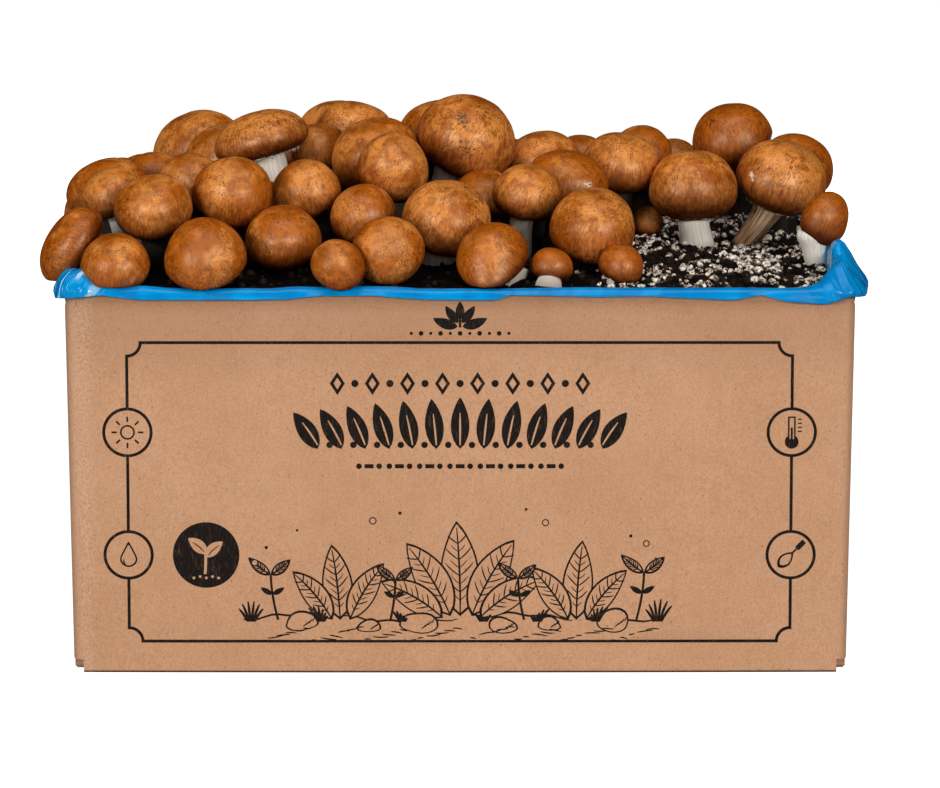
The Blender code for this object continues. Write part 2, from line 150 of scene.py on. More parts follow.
def grownFrom(carrier, name, tree, values):  # what a Geometry Nodes tree makes of a carrier
    modifier = carrier.modifiers.new(name, "NODES")
    modifier.node_group = tree
    for item in tree.interface.items_tree:
        if item.item_type == "SOCKET" and item.in_out == "INPUT" and item.name in values:
            modifier[item.identifier] = values[item.name]
    mesh = plainMesh(carrier)
    carrier.modifiers.remove(modifier)
    mesh.name = name
    return addObject(name, mesh)


# Small tools for materials

def addNode(tree, kind, inputs=None, **settings):
    made = tree.nodes.new(kind)
    for label, value in settings.items():
        setattr(made, label, value)
    for socket, source in (inputs or {}).items():
        if isinstance(source, bpy.types.NodeSocket):
            tree.links.new(source, made.inputs[socket])
        else:
            made.inputs[socket].default_value = source
    return made


def newTree(name, *sockets):  # a Geometry Nodes tree with its named inputs
    tree = bpy.data.node_groups.new(name, "GeometryNodeTree")
    for label, kind in (("Geometry", "Geometry"), *sockets):
        tree.interface.new_socket(label, in_out="INPUT", socket_type="NodeSocket" + kind)
    tree.interface.new_socket("Geometry", in_out="OUTPUT", socket_type="NodeSocketGeometry")
    return tree, addNode(tree, "NodeGroupInput").outputs


def endTree(tree, geometry, finish):
    coloured = addNode(tree, "GeometryNodeSetMaterial", {"Geometry": geometry, "Material": finish})
    addNode(tree, "NodeGroupOutput", {0: coloured.outputs[0]})
    return tree


def newFinish(name, roughness, specular):
    finish = bpy.data.materials.new(name)
    finish.use_nodes = True
    shader = finish.node_tree.nodes["Principled BSDF"]
    shader.inputs["Roughness"].default_value = roughness
    shader.inputs["Specular IOR Level"].default_value = specular
    return finish, finish.node_tree, shader


def objectPlace(tree):
    return addNode(tree, "ShaderNodeTexCoord").outputs["Object"]


def stretched(tree, place, scale):
    return addNode(tree, "ShaderNodeMapping", {"Vector": place, "Scale": scale}).outputs[0]


def cloudy(tree, place, scale, detail=2.0, rough=0.5, bend=0.0):
    inputs = {"Vector": place, "Scale": scale, "Detail": detail, "Roughness": rough, "Distortion": bend}
    return addNode(tree, "ShaderNodeTexNoise", inputs).outputs["Fac"]


def spotted(tree, place, scale):
    return addNode(tree, "ShaderNodeTexVoronoi", {"Vector": place, "Scale": scale}).outputs["Distance"]


def ranged(tree, value, low, high, least=0.0, most=1.0):
    inputs = {"Value": value, "From Min": low, "From Max": high, "To Min": least, "To Max": most}
    return addNode(tree, "ShaderNodeMapRange", inputs, interpolation_type="SMOOTHSTEP").outputs[0]


def sums(tree, operation, first, second=0.0):
    return addNode(tree, "ShaderNodeMath", {0: first, 1: second}, operation=operation).outputs[0]


def product(tree, first, second):
    return sums(tree, "MULTIPLY", first, second)


def blended(tree, share, first, second):
    return addNode(tree, "ShaderNodeMix", {0: share, 6: first, 7: second}, data_type="RGBA").outputs[2]


def layered(tree, base, layers):  # each layer: its share, or a value and its range, and then its colour
    for value, *span, colour in layers:
        share = ranged(tree, value, *span) if span else value
        base = blended(tree, share, base, colour)
    return base


def raised(tree, height, distance, strength, under=None):
    inputs = {"Height": height, "Distance": distance, "Strength": strength}
    if under is not None:
        inputs["Normal"] = under
    return addNode(tree, "ShaderNodeBump", inputs).outputs[0]


def attributeOf(tree, name):
    return addNode(tree, "ShaderNodeAttribute", attribute_name=name)


# Carton

carton = {
    "width": 400 * mm,
    "depth": 300 * mm,
    "height": 198 * mm,
    "board": 3.5 * mm,
    "rimFlare": 3 * mm,
    "wallBow": 1.5 * mm,
    "cornerRadius": 6 * mm,
    "edge": 1.2 * mm,
    "flapReach": 150 * mm,
    "foldBelowRim": 5.2 * mm,
    "foldDepth": 0.45 * mm,
    "foldWidth": 0.9 * mm,
    "slot": 5.2 * mm,
    "slotDepth": {-1: 14 * mm, 1: 5.2 * mm},  # at the front and at the back
    "slotHeight": 7 * mm,
    "seamWidth": 1.4 * mm,
    "flutePitch": 0.0077,
    "rowStep": 12 * mm,
    "rowsBelow": 186 * mm,
    "sharpDegrees": 38,
    "flapLine": (2.4 * mm, 0.7 * mm),
    "sideSteps": (34, 26),
    "cornerSteps": 6,
    "kraft": (0.590, 0.314, 0.170, 1),
    "kraftDark": (0.452, 0.222, 0.113, 1),
    "kraftLight": (0.656, 0.362, 0.210, 1),
    "scuffAndSheen": (0.700, 0.455, 0.320, 1),
    "ink": (0.009, 0.006, 0.005, 1),
}


def wallSection(inset, radius, z):  # a round-cornered rectangle whose sides bow out, anticlockwise
    flare = carton["rimFlare"] * z / carton["height"]
    halfX = carton["width"] / 2 + flare - inset
    halfY = carton["depth"] / 2 + flare / 2 - inset
    points = []
    arc = carton["cornerSteps"]
    for index, (signX, signY, start) in enumerate(((1, -1, -90), (1, 1, 0), (-1, 1, 90), (-1, -1, 180))):
        for k in range(arc + 1):
            angle = math.radians(start + 90 * k / arc)
            x = signX * (halfX - radius) + radius * math.cos(angle)
            points.append((x, signY * (halfY - radius) + radius * math.sin(angle)))
        alongY = index in (0, 2)
        count = carton["sideSteps"][1 if alongY else 0]
        for k in range(1, count):
            share = 2 * k / count - 1
            out = carton["wallBow"] * (1 - share * share)
            if alongY:
                points.append((signX * (halfX + out), signX * share * (halfY - radius)))
            else:
                points.append((-signY * share * (halfX - radius), signY * (halfY + out)))
    return np.array([(x, y, z) for x, y in points])


def cartonSection(z, inset, radius=None):
    corner = max(carton["cornerRadius"] - inset, 2 * mm) if radius is None else radius
    return wallSection(inset, corner, z)


def foldGroove(z):
    away = (z - (carton["height"] - carton["foldBelowRim"])) / carton["foldWidth"]
    return carton["foldDepth"] * math.exp(-away * away)


def outerLevels():
    top, fold = carton["height"], carton["height"] - carton["foldBelowRim"]
    rows = np.arange(carton["rowStep"], carton["rowsBelow"], carton["rowStep"])
    levels = [carton["edge"], *(float(z) for z in rows)]
    levels += [fold + step * carton["foldWidth"] for step in (-3, -1.6, -0.8, 0, 0.8, 1.6)]
    return levels + [top - carton["edge"]]


# The front's print: a made-up garden design in flat ink, drawn in millimetres from the front's lower middle

artwork = {
    "borderLine": 1.6,
    "border": (-171, 170.5, 16.7, 172.6),  # left, right, low, high
    "notch": 7,
    "pen": 0.95,
    "ringRadius": 12.2,
    "rings": ((-171, 126, "sun"), (-171, 62, "drop"), (170.5, 126, "thermometer"), (170.5, 62, "trowel")),
    "badge": (-131, 62, 17.2),
    "gridStep": 12,
}


def circleShape(x, z, radius, steps=28):
    angles = np.linspace(0, 2 * math.pi, steps, endpoint=False)
    return np.stack([x + radius * np.cos(angles), z + radius * np.sin(angles)], 1)


def inInk(*shapes):
    return [("ink", shape) for shape in shapes]


def inPaper(*shapes):
    return [("paper", shape) for shape in shapes]


def acrossPath(path):  # at each point of a path, the direction to its left
    ahead = np.gradient(path, axis=0)
    ahead /= np.linalg.norm(ahead, axis=1)[:, None]
    return np.stack([-ahead[:, 1], ahead[:, 0]], 1)


def strokeShape(path, width, taper=False):
    path = np.array(path, float)
    if len(path) == 2:
        path = path[0] + (path[1] - path[0]) * np.linspace(0, 1, 4)[:, None]
    half = np.full(len(path), width / 2)
    if taper:
        half *= 0.25 + 0.75 * np.sin(np.linspace(0.1, 0.97, len(path)) * math.pi) ** 0.6
    offset = acrossPath(path) * half[:, None]
    return np.vstack([path - offset, (path + offset)[::-1]])


def curvedPath(start, angle, length, bend, steps=9):
    t = np.linspace(0, 1, steps)
    turn = math.radians(angle) + math.radians(bend) * (t - 0.5)
    step = length / (steps - 1)
    x = start[0] + np.concatenate([[0], np.cumsum(np.cos(turn[1:]) * step)])
    z = start[1] + np.concatenate([[0], np.cumsum(np.sin(turn[1:]) * step)])
    return np.stack([x, z], 1)


def leafShape(start, angle, length, width, bend=0.0, steps=14):
    spine = curvedPath(start, angle, length, bend, steps)
    half = width / 2 * np.sin(math.pi * np.linspace(0, 1, steps) ** 0.85) ** 0.8
    half[0] = half[-1] = 0
    offset = acrossPath(spine) * half[:, None]
    return np.vstack([spine - offset, (spine + offset)[::-1][1:-1]])


def ringDrawing(x, z, radius, line):
    outer, inner = (circleShape(x, z, radius + side * line / 2, 40) for side in (1, -1))
    return inInk(outer) + inPaper(inner)


def leafDrawing(start, angle, length, width, bend, hatched=True):
    pen = artwork["pen"]
    heading = np.array([math.cos(math.radians(angle)), math.sin(math.radians(angle))])
    inner = np.array(start) + heading * pen * 1.6
    drawn = inInk(leafShape(start, angle, length, width, bend))
    drawn += inPaper(leafShape(inner, angle, length - pen * 3.4, width - 2 * pen, bend))
    spine = curvedPath(start, angle, length * 0.93, bend, 12)
    drawn += inInk(strokeShape(spine, pen * 1.1, True))
    for k in range(2, 10):
        reach = width / 2 * math.sin(math.pi * (k / 11 * 0.93) ** 0.85) ** 0.8
        ahead = spine[k + 1] - spine[k - 1]
        facing = math.degrees(math.atan2(ahead[1], ahead[0]))
        for side in (1, -1):
            long = reach * (1.02 if k % 2 or not hatched else 0.62)
            if long > 2.2:
                vein = curvedPath(spine[k], facing + side * 48, long, -side * 18, 6)
                drawn += inInk(strokeShape(vein, pen * (0.8 if k % 2 else 0.55), True))
    return drawn


def stoneDrawing(x, z, width, height, seed):
    angles = np.linspace(0, 2 * math.pi, 22, endpoint=False)
    lumps = 1 + 0.09 * np.sin(angles * 2 + seed) + 0.06 * np.cos(angles * 3 + seed * 2)
    flat = np.where(np.sin(angles) < 0, 0.55, 1.0)
    form = np.stack([np.cos(angles) * width / 2, np.sin(angles) * height * flat], 1) * lumps[:, None]
    pen = artwork["pen"]
    inner = form * (1 - 2 * pen / width, 1 - 1.25 * pen / height)
    drawn = inInk(form + (x, z)) + inPaper(inner + (x, z))
    for k in range(4):
        start = (x + width * (0.05 + 0.09 * k), z + height * (0.1 + 0.12 * k) - height * 0.3)
        hatch = curvedPath(start, 40 + 6 * k, width * 0.16, 30, 5)
        drawn += inInk(strokeShape(hatch, pen * 0.7, True))
    return drawn


def seedlingDrawing(x, z, height, lean):
    stalk = curvedPath((x, z), 90 + lean, height, -lean * 1.4, 8)
    pen = artwork["pen"]
    drawn = inInk(strokeShape(stalk, pen * 1.3))
    for side, size in ((1, 0.62), (-1, 0.55)):
        drawn += leafDrawing(stalk[-1], 90 + side * 52, height * size, height * 0.24, -side * 16, False)
    for side in (1, -1):
        shape = leafShape(stalk[4], 90 + side * 60, height * 0.30, height * 0.12, -side * 10, 8)
        drawn += inInk(shape)
    return drawn


def grassDrawing(x, z, height, count, seed):
    drawn = []
    for k in range(count):
        share = k / (count - 1) - 0.5
        tall = height * (0.65 + 0.35 * math.cos(share * 2.6 + seed))
        blade = curvedPath((x + share * height * 0.35, z), 90 - share * 62, tall, -share * 46, 8)
        drawn += inInk(strokeShape(blade, artwork["pen"] * 1.5, True))
    return drawn


def borderDrawing():
    left, right, low, high = artwork["border"]
    notch, half = artwork["notch"], artwork["borderLine"] / 2

    def outline(grow):  # a frame whose corners are cut in by quarter circles
        radius = notch - grow
        more = math.degrees(math.asin(grow / radius))
        points = []
        for x, z, start in ((right, low, 180), (right, high, 270), (left, high, 0), (left, low, 90)):
            for k in range(9):
                angle = math.radians(start + more - (90 + 2 * more) * k / 8)
                points.append((x + radius * math.cos(angle), z + radius * math.sin(angle)))
        return np.array(points)

    return inInk(outline(half)) + inPaper(outline(-half))


def pictogramDrawing(x, z, motif):
    drawn = ringDrawing(x, z, artwork["ringRadius"], artwork["borderLine"])
    if motif == "sun":
        drawn += ringDrawing(x, z, 3.4, 0.9)
        for k in range(8):
            angle = math.radians(45 * k)
            ray = [(x + r * math.cos(angle), z + r * math.sin(angle)) for r in (5.4, 8.2)]
            drawn += inInk(strokeShape(ray, 0.95))
    elif motif == "drop":
        for size, kind in ((1.0, "ink"), (0.80, "paper")):
            angles = np.linspace(-0.5 * math.pi, 1.5 * math.pi, 26, endpoint=False)
            width = np.cos(angles) * 4.6 * np.where(np.sin(angles) > 0, 1 - np.sin(angles) * 0.72, 1)
            tall = np.where(np.sin(angles) > 0, np.sin(angles) * 8.8, np.sin(angles) * 4.6)
            drawn.append((kind, np.stack([x + width * size, z - 1.8 + tall * size], 1)))
        drawn += inInk(strokeShape(curvedPath((x - 2.4, z - 2.2), 280, 3.4, 70, 6), 0.8, True))
    elif motif == "thermometer":
        drawn += inInk(strokeShape([(x, z - 4), (x, z + 8.2)], 4.0))
        drawn += inInk(circleShape(x, z - 5, 3.6))
        drawn += inPaper(strokeShape([(x, z - 3.6), (x, z + 7.4)], 2.3))
        drawn += inInk(strokeShape([(x, z - 4.6), (x, z + 2.4)], 1.1))
        for k in range(4):
            level = z + 0.4 + 2.1 * k
            drawn += inInk(strokeShape([(x + 3.1, level), (x + 5.2, level)], 0.7))
    else:
        drawn += inInk(leafShape((x - 6.6, z - 6.6), 45, 11.2, 6.6, 0, 12))
        drawn += inPaper(leafShape((x - 5.3, z - 5.3), 45, 7.9, 4.6, 0, 12))
        drawn += inInk(strokeShape([(x + 0.6, z + 0.6), (x + 3.4, z + 3.4)], 1.0))
        drawn += inInk(strokeShape([(x + 3.1, z + 3.1), (x + 7.0, z + 7.0)], 2.7))
    return drawn


def badgeDrawing():
    x, z, radius = artwork["badge"]
    drawn = inInk(circleShape(x, z, radius, 44))
    drawn += inPaper(strokeShape(curvedPath((x - 0.6, z - 10), 88, 12, 6, 8), 1.5))
    drawn += inPaper(leafShape((x, z + 0.6), 138, 12.4, 6.4, 22))
    drawn += inPaper(leafShape((x, z - 1.2), 44, 12.0, 6.0, -22))
    drawn += inInk(strokeShape(curvedPath((x - 1.0, z + 1.6), 138, 8, 22, 6), 0.6, True))
    drawn += inInk(strokeShape(curvedPath((x + 1.0, z - 0.2), 44, 8, -22, 6), 0.6, True))
    for k in range(5):
        grain = circleShape(x - 6.4 + 3.2 * k, z - 12 + 0.7 * (k % 2), 0.75, 10)
        drawn += inPaper(grain)
    return drawn


def friezeDrawing():
    drawn = []
    for k in range(15):  # upper row: open lozenges and dots
        x = -63 + 9 * k
        if k % 2:
            drawn += inInk(circleShape(x, 151.5, 1.9, 14))
            continue
        for size, kind in ((1.0, "ink"), (0.50, "paper")):
            shape = np.array([(0, -6), (3.9, 0), (0, 6), (-3.9, 0)]) * size + (x, 151.5)
            drawn.append((kind, shape))
    for k in range(-6, 7):  # bold row: a fan of solid leaves that lean out from the middle
        x, lean, tall = 12.2 * k, -5.5 * k, 27 - 0.7 * abs(k)
        drawn += inInk(leafShape((x, 117.5), 90 + lean, tall, 9.6, -2.0 * k))
        stripe = curvedPath((x, 119.5), 90 + lean, tall * 0.62, -1.3 * k, 6)
        drawn += inPaper(strokeShape(stripe, 1.0, True))
        if k < 6:
            drawn += inInk(circleShape(x + 6.1, 119.6, 1.7, 16))
    for k in range(21):  # lower row: dots and dashes
        x = -52 + 5.2 * k
        if k % 3 == 1:
            drawn += inInk(strokeShape([(x - 2.3, 108.5), (x + 2.3, 108.5)], 2.2))
        else:
            drawn += inInk(circleShape(x, 108.5, 1.5, 12))
    for k in range(11):  # short row under the top sprig
        drawn += inInk(circleShape(-25 + 5 * k, 177.5, 1.25 if k % 2 else 0.85, 12))
    return drawn


def sprigDrawing():
    drawn = inInk(strokeShape([(0, 180.5), (0, 188)], 1.3))
    for side in (1, -1):
        drawn += inInk(leafShape((side * 1.2, 181), 90 - side * 72, 13.5, 5.4, side * 22))
        drawn += inInk(leafShape((side * 0.8, 183), 90 - side * 38, 11.0, 4.6, side * 16))
    drawn += inInk(leafShape((0, 184.5), 90, 9.5, 4.6))
    return drawn


def gardenDrawing():
    pen = artwork["pen"]
    x = np.linspace(-112, 106, 60)
    rise = 29 + 2.2 * np.sin(x * 0.06) + 0.8 * np.sin(x * 0.31)
    drawn = []
    for start, end in ((0, 13), (14, 31), (32, 47), (48, 60)):
        drawn += inInk(strokeShape(np.stack([x, rise], 1)[start:end], pen * 1.2, True))
    plants = (
        (0, 30, 92, 50, 20, 6), (-5, 30, 120, 45, 18, 18), (6, 30, 62, 46, 18, -18),
        (-9, 29, 148, 38, 15, 26), (10, 29, 34, 39, 15, -26),
        (-62, 28, 96, 40, 16, 8), (-66, 28, 128, 33, 13, 20), (-57, 28, 60, 35, 14, -20),
        (60, 28, 86, 42, 16, -8), (56, 28, 124, 34, 14, 20), (65, 28, 52, 34, 13, -22),
    )
    for px, pz, angle, length, width, bend in plants:
        drawn += leafDrawing((px, pz), angle, length, width, bend)
    for px, height, lean in ((-94, 24, 10), (-36, 21, -8), (33, 22, 9), (91, 25, -10)):
        drawn += seedlingDrawing(px, 28, height, lean)
    stones = (
        (-82, 26, 17, 7), (-47, 24, 12, 5), (-21, 25, 19, 8),
        (22, 24, 15, 6), (46, 25, 13, 5), (79, 26, 18, 8),
    )
    for seed, (px, pz, width, height) in enumerate(stones):
        drawn += stoneDrawing(px, pz, width, height, seed)
    grasses = ((-108, 11), (-72, 9), (-30, 8), (12, 9), (40, 10), (70, 9), (102, 12))
    for seed, (px, height) in enumerate(grasses):
        drawn += grassDrawing(px, 27, height, 6, seed)
    for k in range(46):  # broken earth lines below the plants
        px = -104 + 4.55 * k
        pz = 13.5 + 7.5 * ((k * 37) % 17) / 17
        if not (-100 < px < 98):
            continue
        line = curvedPath((px, pz + 3.5), 12 - (k * 53) % 25, 3.2 + (k * 29) % 6, (k * 41) % 60 - 30, 6)
        drawn += inInk(strokeShape(line, pen * 0.8, True))
    seeds = ((-100, 66, 0.9), (-84, 75, 0.7), (-31, 84, 0.9), (34, 86, 0.8), (88, 72, 0.9), (101, 60, 0.7))
    for px, pz, radius in seeds:
        drawn += inInk(circleShape(px, pz, radius, 10))
    for px, pz, radius in ((-45, 80, 1.7), (44, 79, 1.6), (96, 68, 1.5), (-106, 58, 1.6)):
        drawn += ringDrawing(px, pz, radius, 0.6)
    return drawn


def printDrawing():
    drawn = borderDrawing()
    for x, z, motif in artwork["rings"]:
        drawn += pictogramDrawing(x, z, motif)
    return drawn + sprigDrawing() + friezeDrawing() + gardenDrawing() + badgeDrawing()


def anticlockwise(shape):
    x, z = shape[:, 0], shape[:, 1]
    area = np.sum(x * np.roll(z, -1) - np.roll(x, -1) * z)
    return shape if area > 0 else shape[::-1]


def halfSpan(z):  # from the middle of the front to the start of its round corners, in millimetres
    flare = carton["rimFlare"] * z / carton["height"]
    return (carton["width"] / 2 + flare - carton["cornerRadius"] - foldGroove(z)) / mm


def creaseFront(mesh):  # keeps the shading of the flat front apart from that of its round corners
    onCrease = []
    for x, y, z in (vertex.co for vertex in mesh.vertices):
        onCrease.append(y < -carton["depth"] / 2 + 1 * mm and abs(abs(x) / mm - halfSpan(z)) < 0.05)
    for line in mesh.edges:
        if onCrease[line.vertices[0]] and onCrease[line.vertices[1]]:
            line.use_edge_sharp = True


def frontPanel(levels):  # the front between its corners, with the inked shapes let into it
    low, high = levels[0], levels[-1]
    share = np.linspace(-1, 1, carton["sideSteps"][0] + 1)
    right = [(halfSpan(z), z / mm) for z in levels]
    bottom = [(halfSpan(low) * s, low / mm) for s in share[1:-1]]
    top = [(halfSpan(high) * s, high / mm) for s in share[::-1][1:-1]]
    left = [(-x, z) for x, z in right[::-1]]
    outline = np.array(bottom + right + top + left)
    points = [Vector(p) for p in outline]
    faces = [list(range(len(points)))]
    step = artwork["gridStep"]
    for z in levels[1:-1]:
        for x in np.arange(-15.5 * step, 16 * step, step):
            points.append(Vector((x, z / mm)))
    kinds = ["paper"]
    for kind, shape in printDrawing():
        first = len(points)
        points += [Vector(p) for p in anticlockwise(np.asarray(shape))]
        faces.append(list(range(first, len(points))))
        kinds.append(kind)
    flat, _, triangles, _, _, sources = delaunay_2d_cdt(points, [], faces, 1, 1e-5, True)
    flat = np.array([tuple(p) for p in flat])
    z = flat[:, 1] * mm
    span = np.array([halfSpan(v) for v in z])
    flare = carton["rimFlare"] / 2 * z / carton["height"]
    groove = np.array([foldGroove(v) for v in z])
    out = carton["wallBow"] * (1 - (flat[:, 0] / span) ** 2)
    y = -(carton["depth"] / 2 + flare + out - groove)
    inked = [int(kinds[max(source, default=0)] == "ink") for source in sources]
    return np.stack([flat[:, 0] * mm, y, z], 1), [tuple(t) for t in triangles], inked


def cutBox(name, centre, size):
    work = bmesh.new()
    bmesh.ops.create_cube(work, size=1.0)
    for vertex in work.verts:
        vertex.co = Vector(c + s * v for c, s, v in zip(centre, size, vertex.co))
    mesh = bpy.data.meshes.new(name)
    work.to_mesh(mesh)
    work.free()
    return addObject(name, mesh)


def kraftFinish(name, printed=False):
    finish, tree, shader = newFinish(name, 0.78, 0.12 if printed else 0.3)
    place = objectPlace(tree)
    broad = cloudy(tree, place, 14.0, 3.0, 0.6)
    patches = cloudy(tree, place, 95.0, 4.0, 0.65, 0.3)
    mottles = cloudy(tree, place, 1000.0, 3.0, 0.7, 0.3)
    fibres = cloudy(tree, stretched(tree, place, (1.0, 1.0, 0.22)), 950.0, 3.0, 0.6, 0.6)
    crossing = cloudy(tree, stretched(tree, place, (0.16, 0.16, 1.0)), 1100.0, 2.0, 0.6, 0.8)
    flecks = spotted(tree, stretched(tree, place, (1.0, 1.0, 0.55)), 420.0)
    flecks = ranged(tree, flecks, 0.07, 0.15, 1.0, 0.0)
    few = ranged(tree, cloudy(tree, place, 160.0, 1.0), 0.52, 0.62)
    x, y, z = addNode(tree, "ShaderNodeSeparateXYZ", {0: place}).outputs
    flutes = sums(tree, "SINE", product(tree, sums(tree, "ADD", x, y), 2 * math.pi / carton["flutePitch"]))
    # pale band at the left corner: scuffed paper and a painted highlight on the rounding
    scuffedAndLit = product(tree, ranged(tree, x, -0.185, -0.194), ranged(tree, mottles, 0.62, 0.40, 0.0, 0.42))
    dark, light = carton["kraftDark"], carton["kraftLight"]
    base = layered(tree, carton["kraft"], (
        (broad, 0.3, 0.7, light),
        (patches, 0.44, 0.75, 0.0, 0.28, dark),
        (mottles, 0.45, 0.66, 0.0, 0.55, dark),
        (mottles, 0.50, 0.36, 0.0, 0.60, light),
        (fibres, 0.42, 0.72, 0.0, 0.24, dark),
        (crossing, 0.55, 0.78, 0.0, 0.30, light),
        (product(tree, flecks, few), (0.20, 0.10, 0.06, 1)),
        (z, 0.0003, 0.0018, 0.92, 0.0, (0.035, 0.018, 0.011, 1)),  # shade at the foot
        # painted shade, darker towards the rim
        (z, 0.145, 0.182, 0.0, 0.26, (0.30, 0.15, 0.08, 1)),
        (z, 0.186, 0.1985, 0.0, 0.55, (0.24, 0.115, 0.06, 1)),  # shade under the film
        (scuffedAndLit, carton["scuffAndSheen"]),
        (sums(tree, "ABSOLUTE", x), 0.1935, 0.1985, 0.0, 0.30, light),  # worn corners, and a painted highlight on their rounding
    ))
    if printed:  # ink lies thinner on the paper's ridges
        thin = ranged(tree, fibres, 0.5, 0.85, 0.0, 0.16)
        base = blended(tree, thin, carton["ink"], base)
        shader.inputs["Roughness"].default_value = 0.62
    tree.links.new(base, shader.inputs["Base Color"])
    grain = raised(tree, sums(tree, "ADD", fibres, crossing), 0.00010, 0.5)
    waves = raised(tree, flutes, 0.00006, 0.55, grain)
    tree.links.new(raised(tree, broad, 0.0022, 0.5, waves), shader.inputs["Normal"])
    return finish


def buildCarton(kraft, ink):
    top, edge, double = carton["height"], carton["edge"], 2 * carton["board"]
    flapEnd = top - carton["flapReach"]
    levels = outerLevels()
    outside = [cartonSection(z, foldGroove(z), carton["cornerRadius"]) for z in levels]
    inside = ((top, edge), (top, double - edge), (top - edge, double), (flapEnd, double),
              (flapEnd - edge, carton["board"]), (double, carton["board"]))
    rings = [cartonSection(0.0, edge), *outside, *(cartonSection(z, inset) for z, inset in inside)]
    count, frontSteps = len(rings[0]), carton["sideSteps"][0]
    frontFirst = count - frontSteps  # the last corner's end, where the front side starts
    faces = []
    for level in range(len(rings) - 1):
        onWall = 1 <= level < len(outside)
        for k in range(count):
            if onWall and k >= frontFirst:
                continue
            after, lower, upper = (k + 1) % count, level * count, (level + 1) * count
            faces.append((lower + k, lower + after, upper + after, upper + k))
    total = count * len(rings)
    faces += [tuple(reversed(range(count))), tuple(range(total - count, total))]
    points, triangles, inked = frontPanel(levels)
    faceFinish = [0] * len(faces) + inked
    faces += [tuple(total + v for v in t) for t in triangles]
    piece = addPiece("carton_shell", np.vstack(rings + [points]), faces, (kraft, ink), faceFinish)
    faceOutwards(piece, 0.004 * mm)
    cutters = [cutBox("seamCut", (0, 0, 0), (carton["width"] * 1.2, carton["seamWidth"], carton["board"]))]
    lineWide, lineDeep = carton["flapLine"]
    for side in (-1, 1):
        for end in (-1, 1):
            slot = (2 * carton["slot"], 2 * carton["slotDepth"][end], 2 * carton["slotHeight"])
            corner = (side * carton["width"] / 2, end * carton["depth"] / 2, 0)
            cutters.append(cutBox("slotCut", corner, slot))
        place = (side * carton["width"] / 2, 0, carton["board"])
        cutters.append(cutBox("lineCut", place, (lineWide, carton["depth"], lineDeep)))
    for cutter in cutters:
        cut = piece.modifiers.new(cutter.name, "BOOLEAN")
        cut.operation, cut.solver, cut.object = "DIFFERENCE", "EXACT", cutter
    mesh = plainMesh(piece)
    piece.modifiers.clear()
    piece.data = mesh
    for cutter in cutters:
        bpy.data.objects.remove(cutter)
    mesh.shade_smooth()
    mesh.set_sharp_from_angle(angle=math.radians(carton["sharpDegrees"]))
    creaseFront(mesh)
    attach(piece, "root")
    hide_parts("carton")


perforation = {
    "x": 197.6 * mm,  # on the right front corner's round
    "low": 22 * mm,
    "high": 188 * mm,
    "pitch": 3.9 * mm,
    "slit": (0.55 * mm, 0.35 * mm, 1.5 * mm),
}


def slitTree(finish):
    tree, entry = newTree("perforationSlits", ("Slit size", "Vector"), ("Turn", "Float"))
    slit = addNode(tree, "GeometryNodeMeshCube", {"Size": entry["Slit size"]})
    turn = addNode(tree, "ShaderNodeCombineXYZ", {"Z": entry["Turn"]})
    inputs = {"Points": entry["Geometry"], "Instance": slit.outputs[0], "Rotation": turn.outputs[0]}
    placed = addNode(tree, "GeometryNodeInstanceOnPoints", inputs)
    real = addNode(tree, "GeometryNodeRealizeInstances", {0: placed.outputs[0]})
    return endTree(tree, real.outputs[0], finish)


def buildPerforation(finish):
    radius = carton["cornerRadius"]
    rows = np.arange(perforation["low"], perforation["high"], perforation["pitch"])
    points, turn = [], 0.0
    for z in rows:
        flare = carton["rimFlare"] * z / carton["height"]
        middleX = carton["width"] / 2 + flare - radius
        turn = math.asin((perforation["x"] - middleX) / radius)
        middleY = -(carton["depth"] / 2 + flare / 2 - radius)
        inside = radius - 0.1 * mm
        points.append((middleX + inside * math.sin(turn), middleY - inside * math.cos(turn), z))
    carrier = addPiece("perforationPath", points, [], ())
    values = {"Slit size": perforation["slit"], "Turn": turn}
    piece = grownFrom(carrier, "carton_perforation", slitTree(finish), values)
    bpy.data.objects.remove(carrier)
    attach(piece, "root")


def slitFinish():
    # the slits' darker colour is painted shade in the cuts
    finish, tree, shader = newFinish("slitShade", 0.9, 0.1)
    shade = ranged(tree, cloudy(tree, objectPlace(tree), 500.0), 0.35, 0.65)
    base = blended(tree, shade, (0.40, 0.215, 0.120, 1), (0.68, 0.42, 0.27, 1))
    tree.links.new(base, shader.inputs["Base Color"])
    return finish


buildCarton(kraftFinish("kraftBoard"), kraftFinish("printInk", True))
buildPerforation(slitFinish())
print("carton built")


# Casing soil

soil = {
    "edgeHeight": 198 * mm,
    "crown": 9 * mm,
    "heap": 8 * mm,
    "heapRange": (-20 * mm, 90 * mm),
    "shoulder": 3 * mm,
    "lump": 2.5 * mm,
    "lumpWaves": (190, 230, 60),
    "clearance": 0.7 * mm,
    "film": 1.0 * mm,
    "gap": 0.3 * mm,
    "step": 2.4 * mm,
    "packedCells": (16, 11),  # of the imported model's casing, along x and along y
    "sharpDegrees": 60,
    "dark": (0.004, 0.0025, 0.002, 1),
    "brown": (0.020, 0.011, 0.007, 1),
    "pale": (0.110, 0.075, 0.052, 1),
    "shadeUnderCaps": (0.0012, 0.0008, 0.0006, 1),
    # extra mounds: x, y, radius, height in millimetres
    "mounds": (
        (185, 78, 17, 13), (160, 62, 20, 7), (103, -14, 13, 5), (72, -52, 16, 3), (140, -95, 18, 2.5),
    ),
}

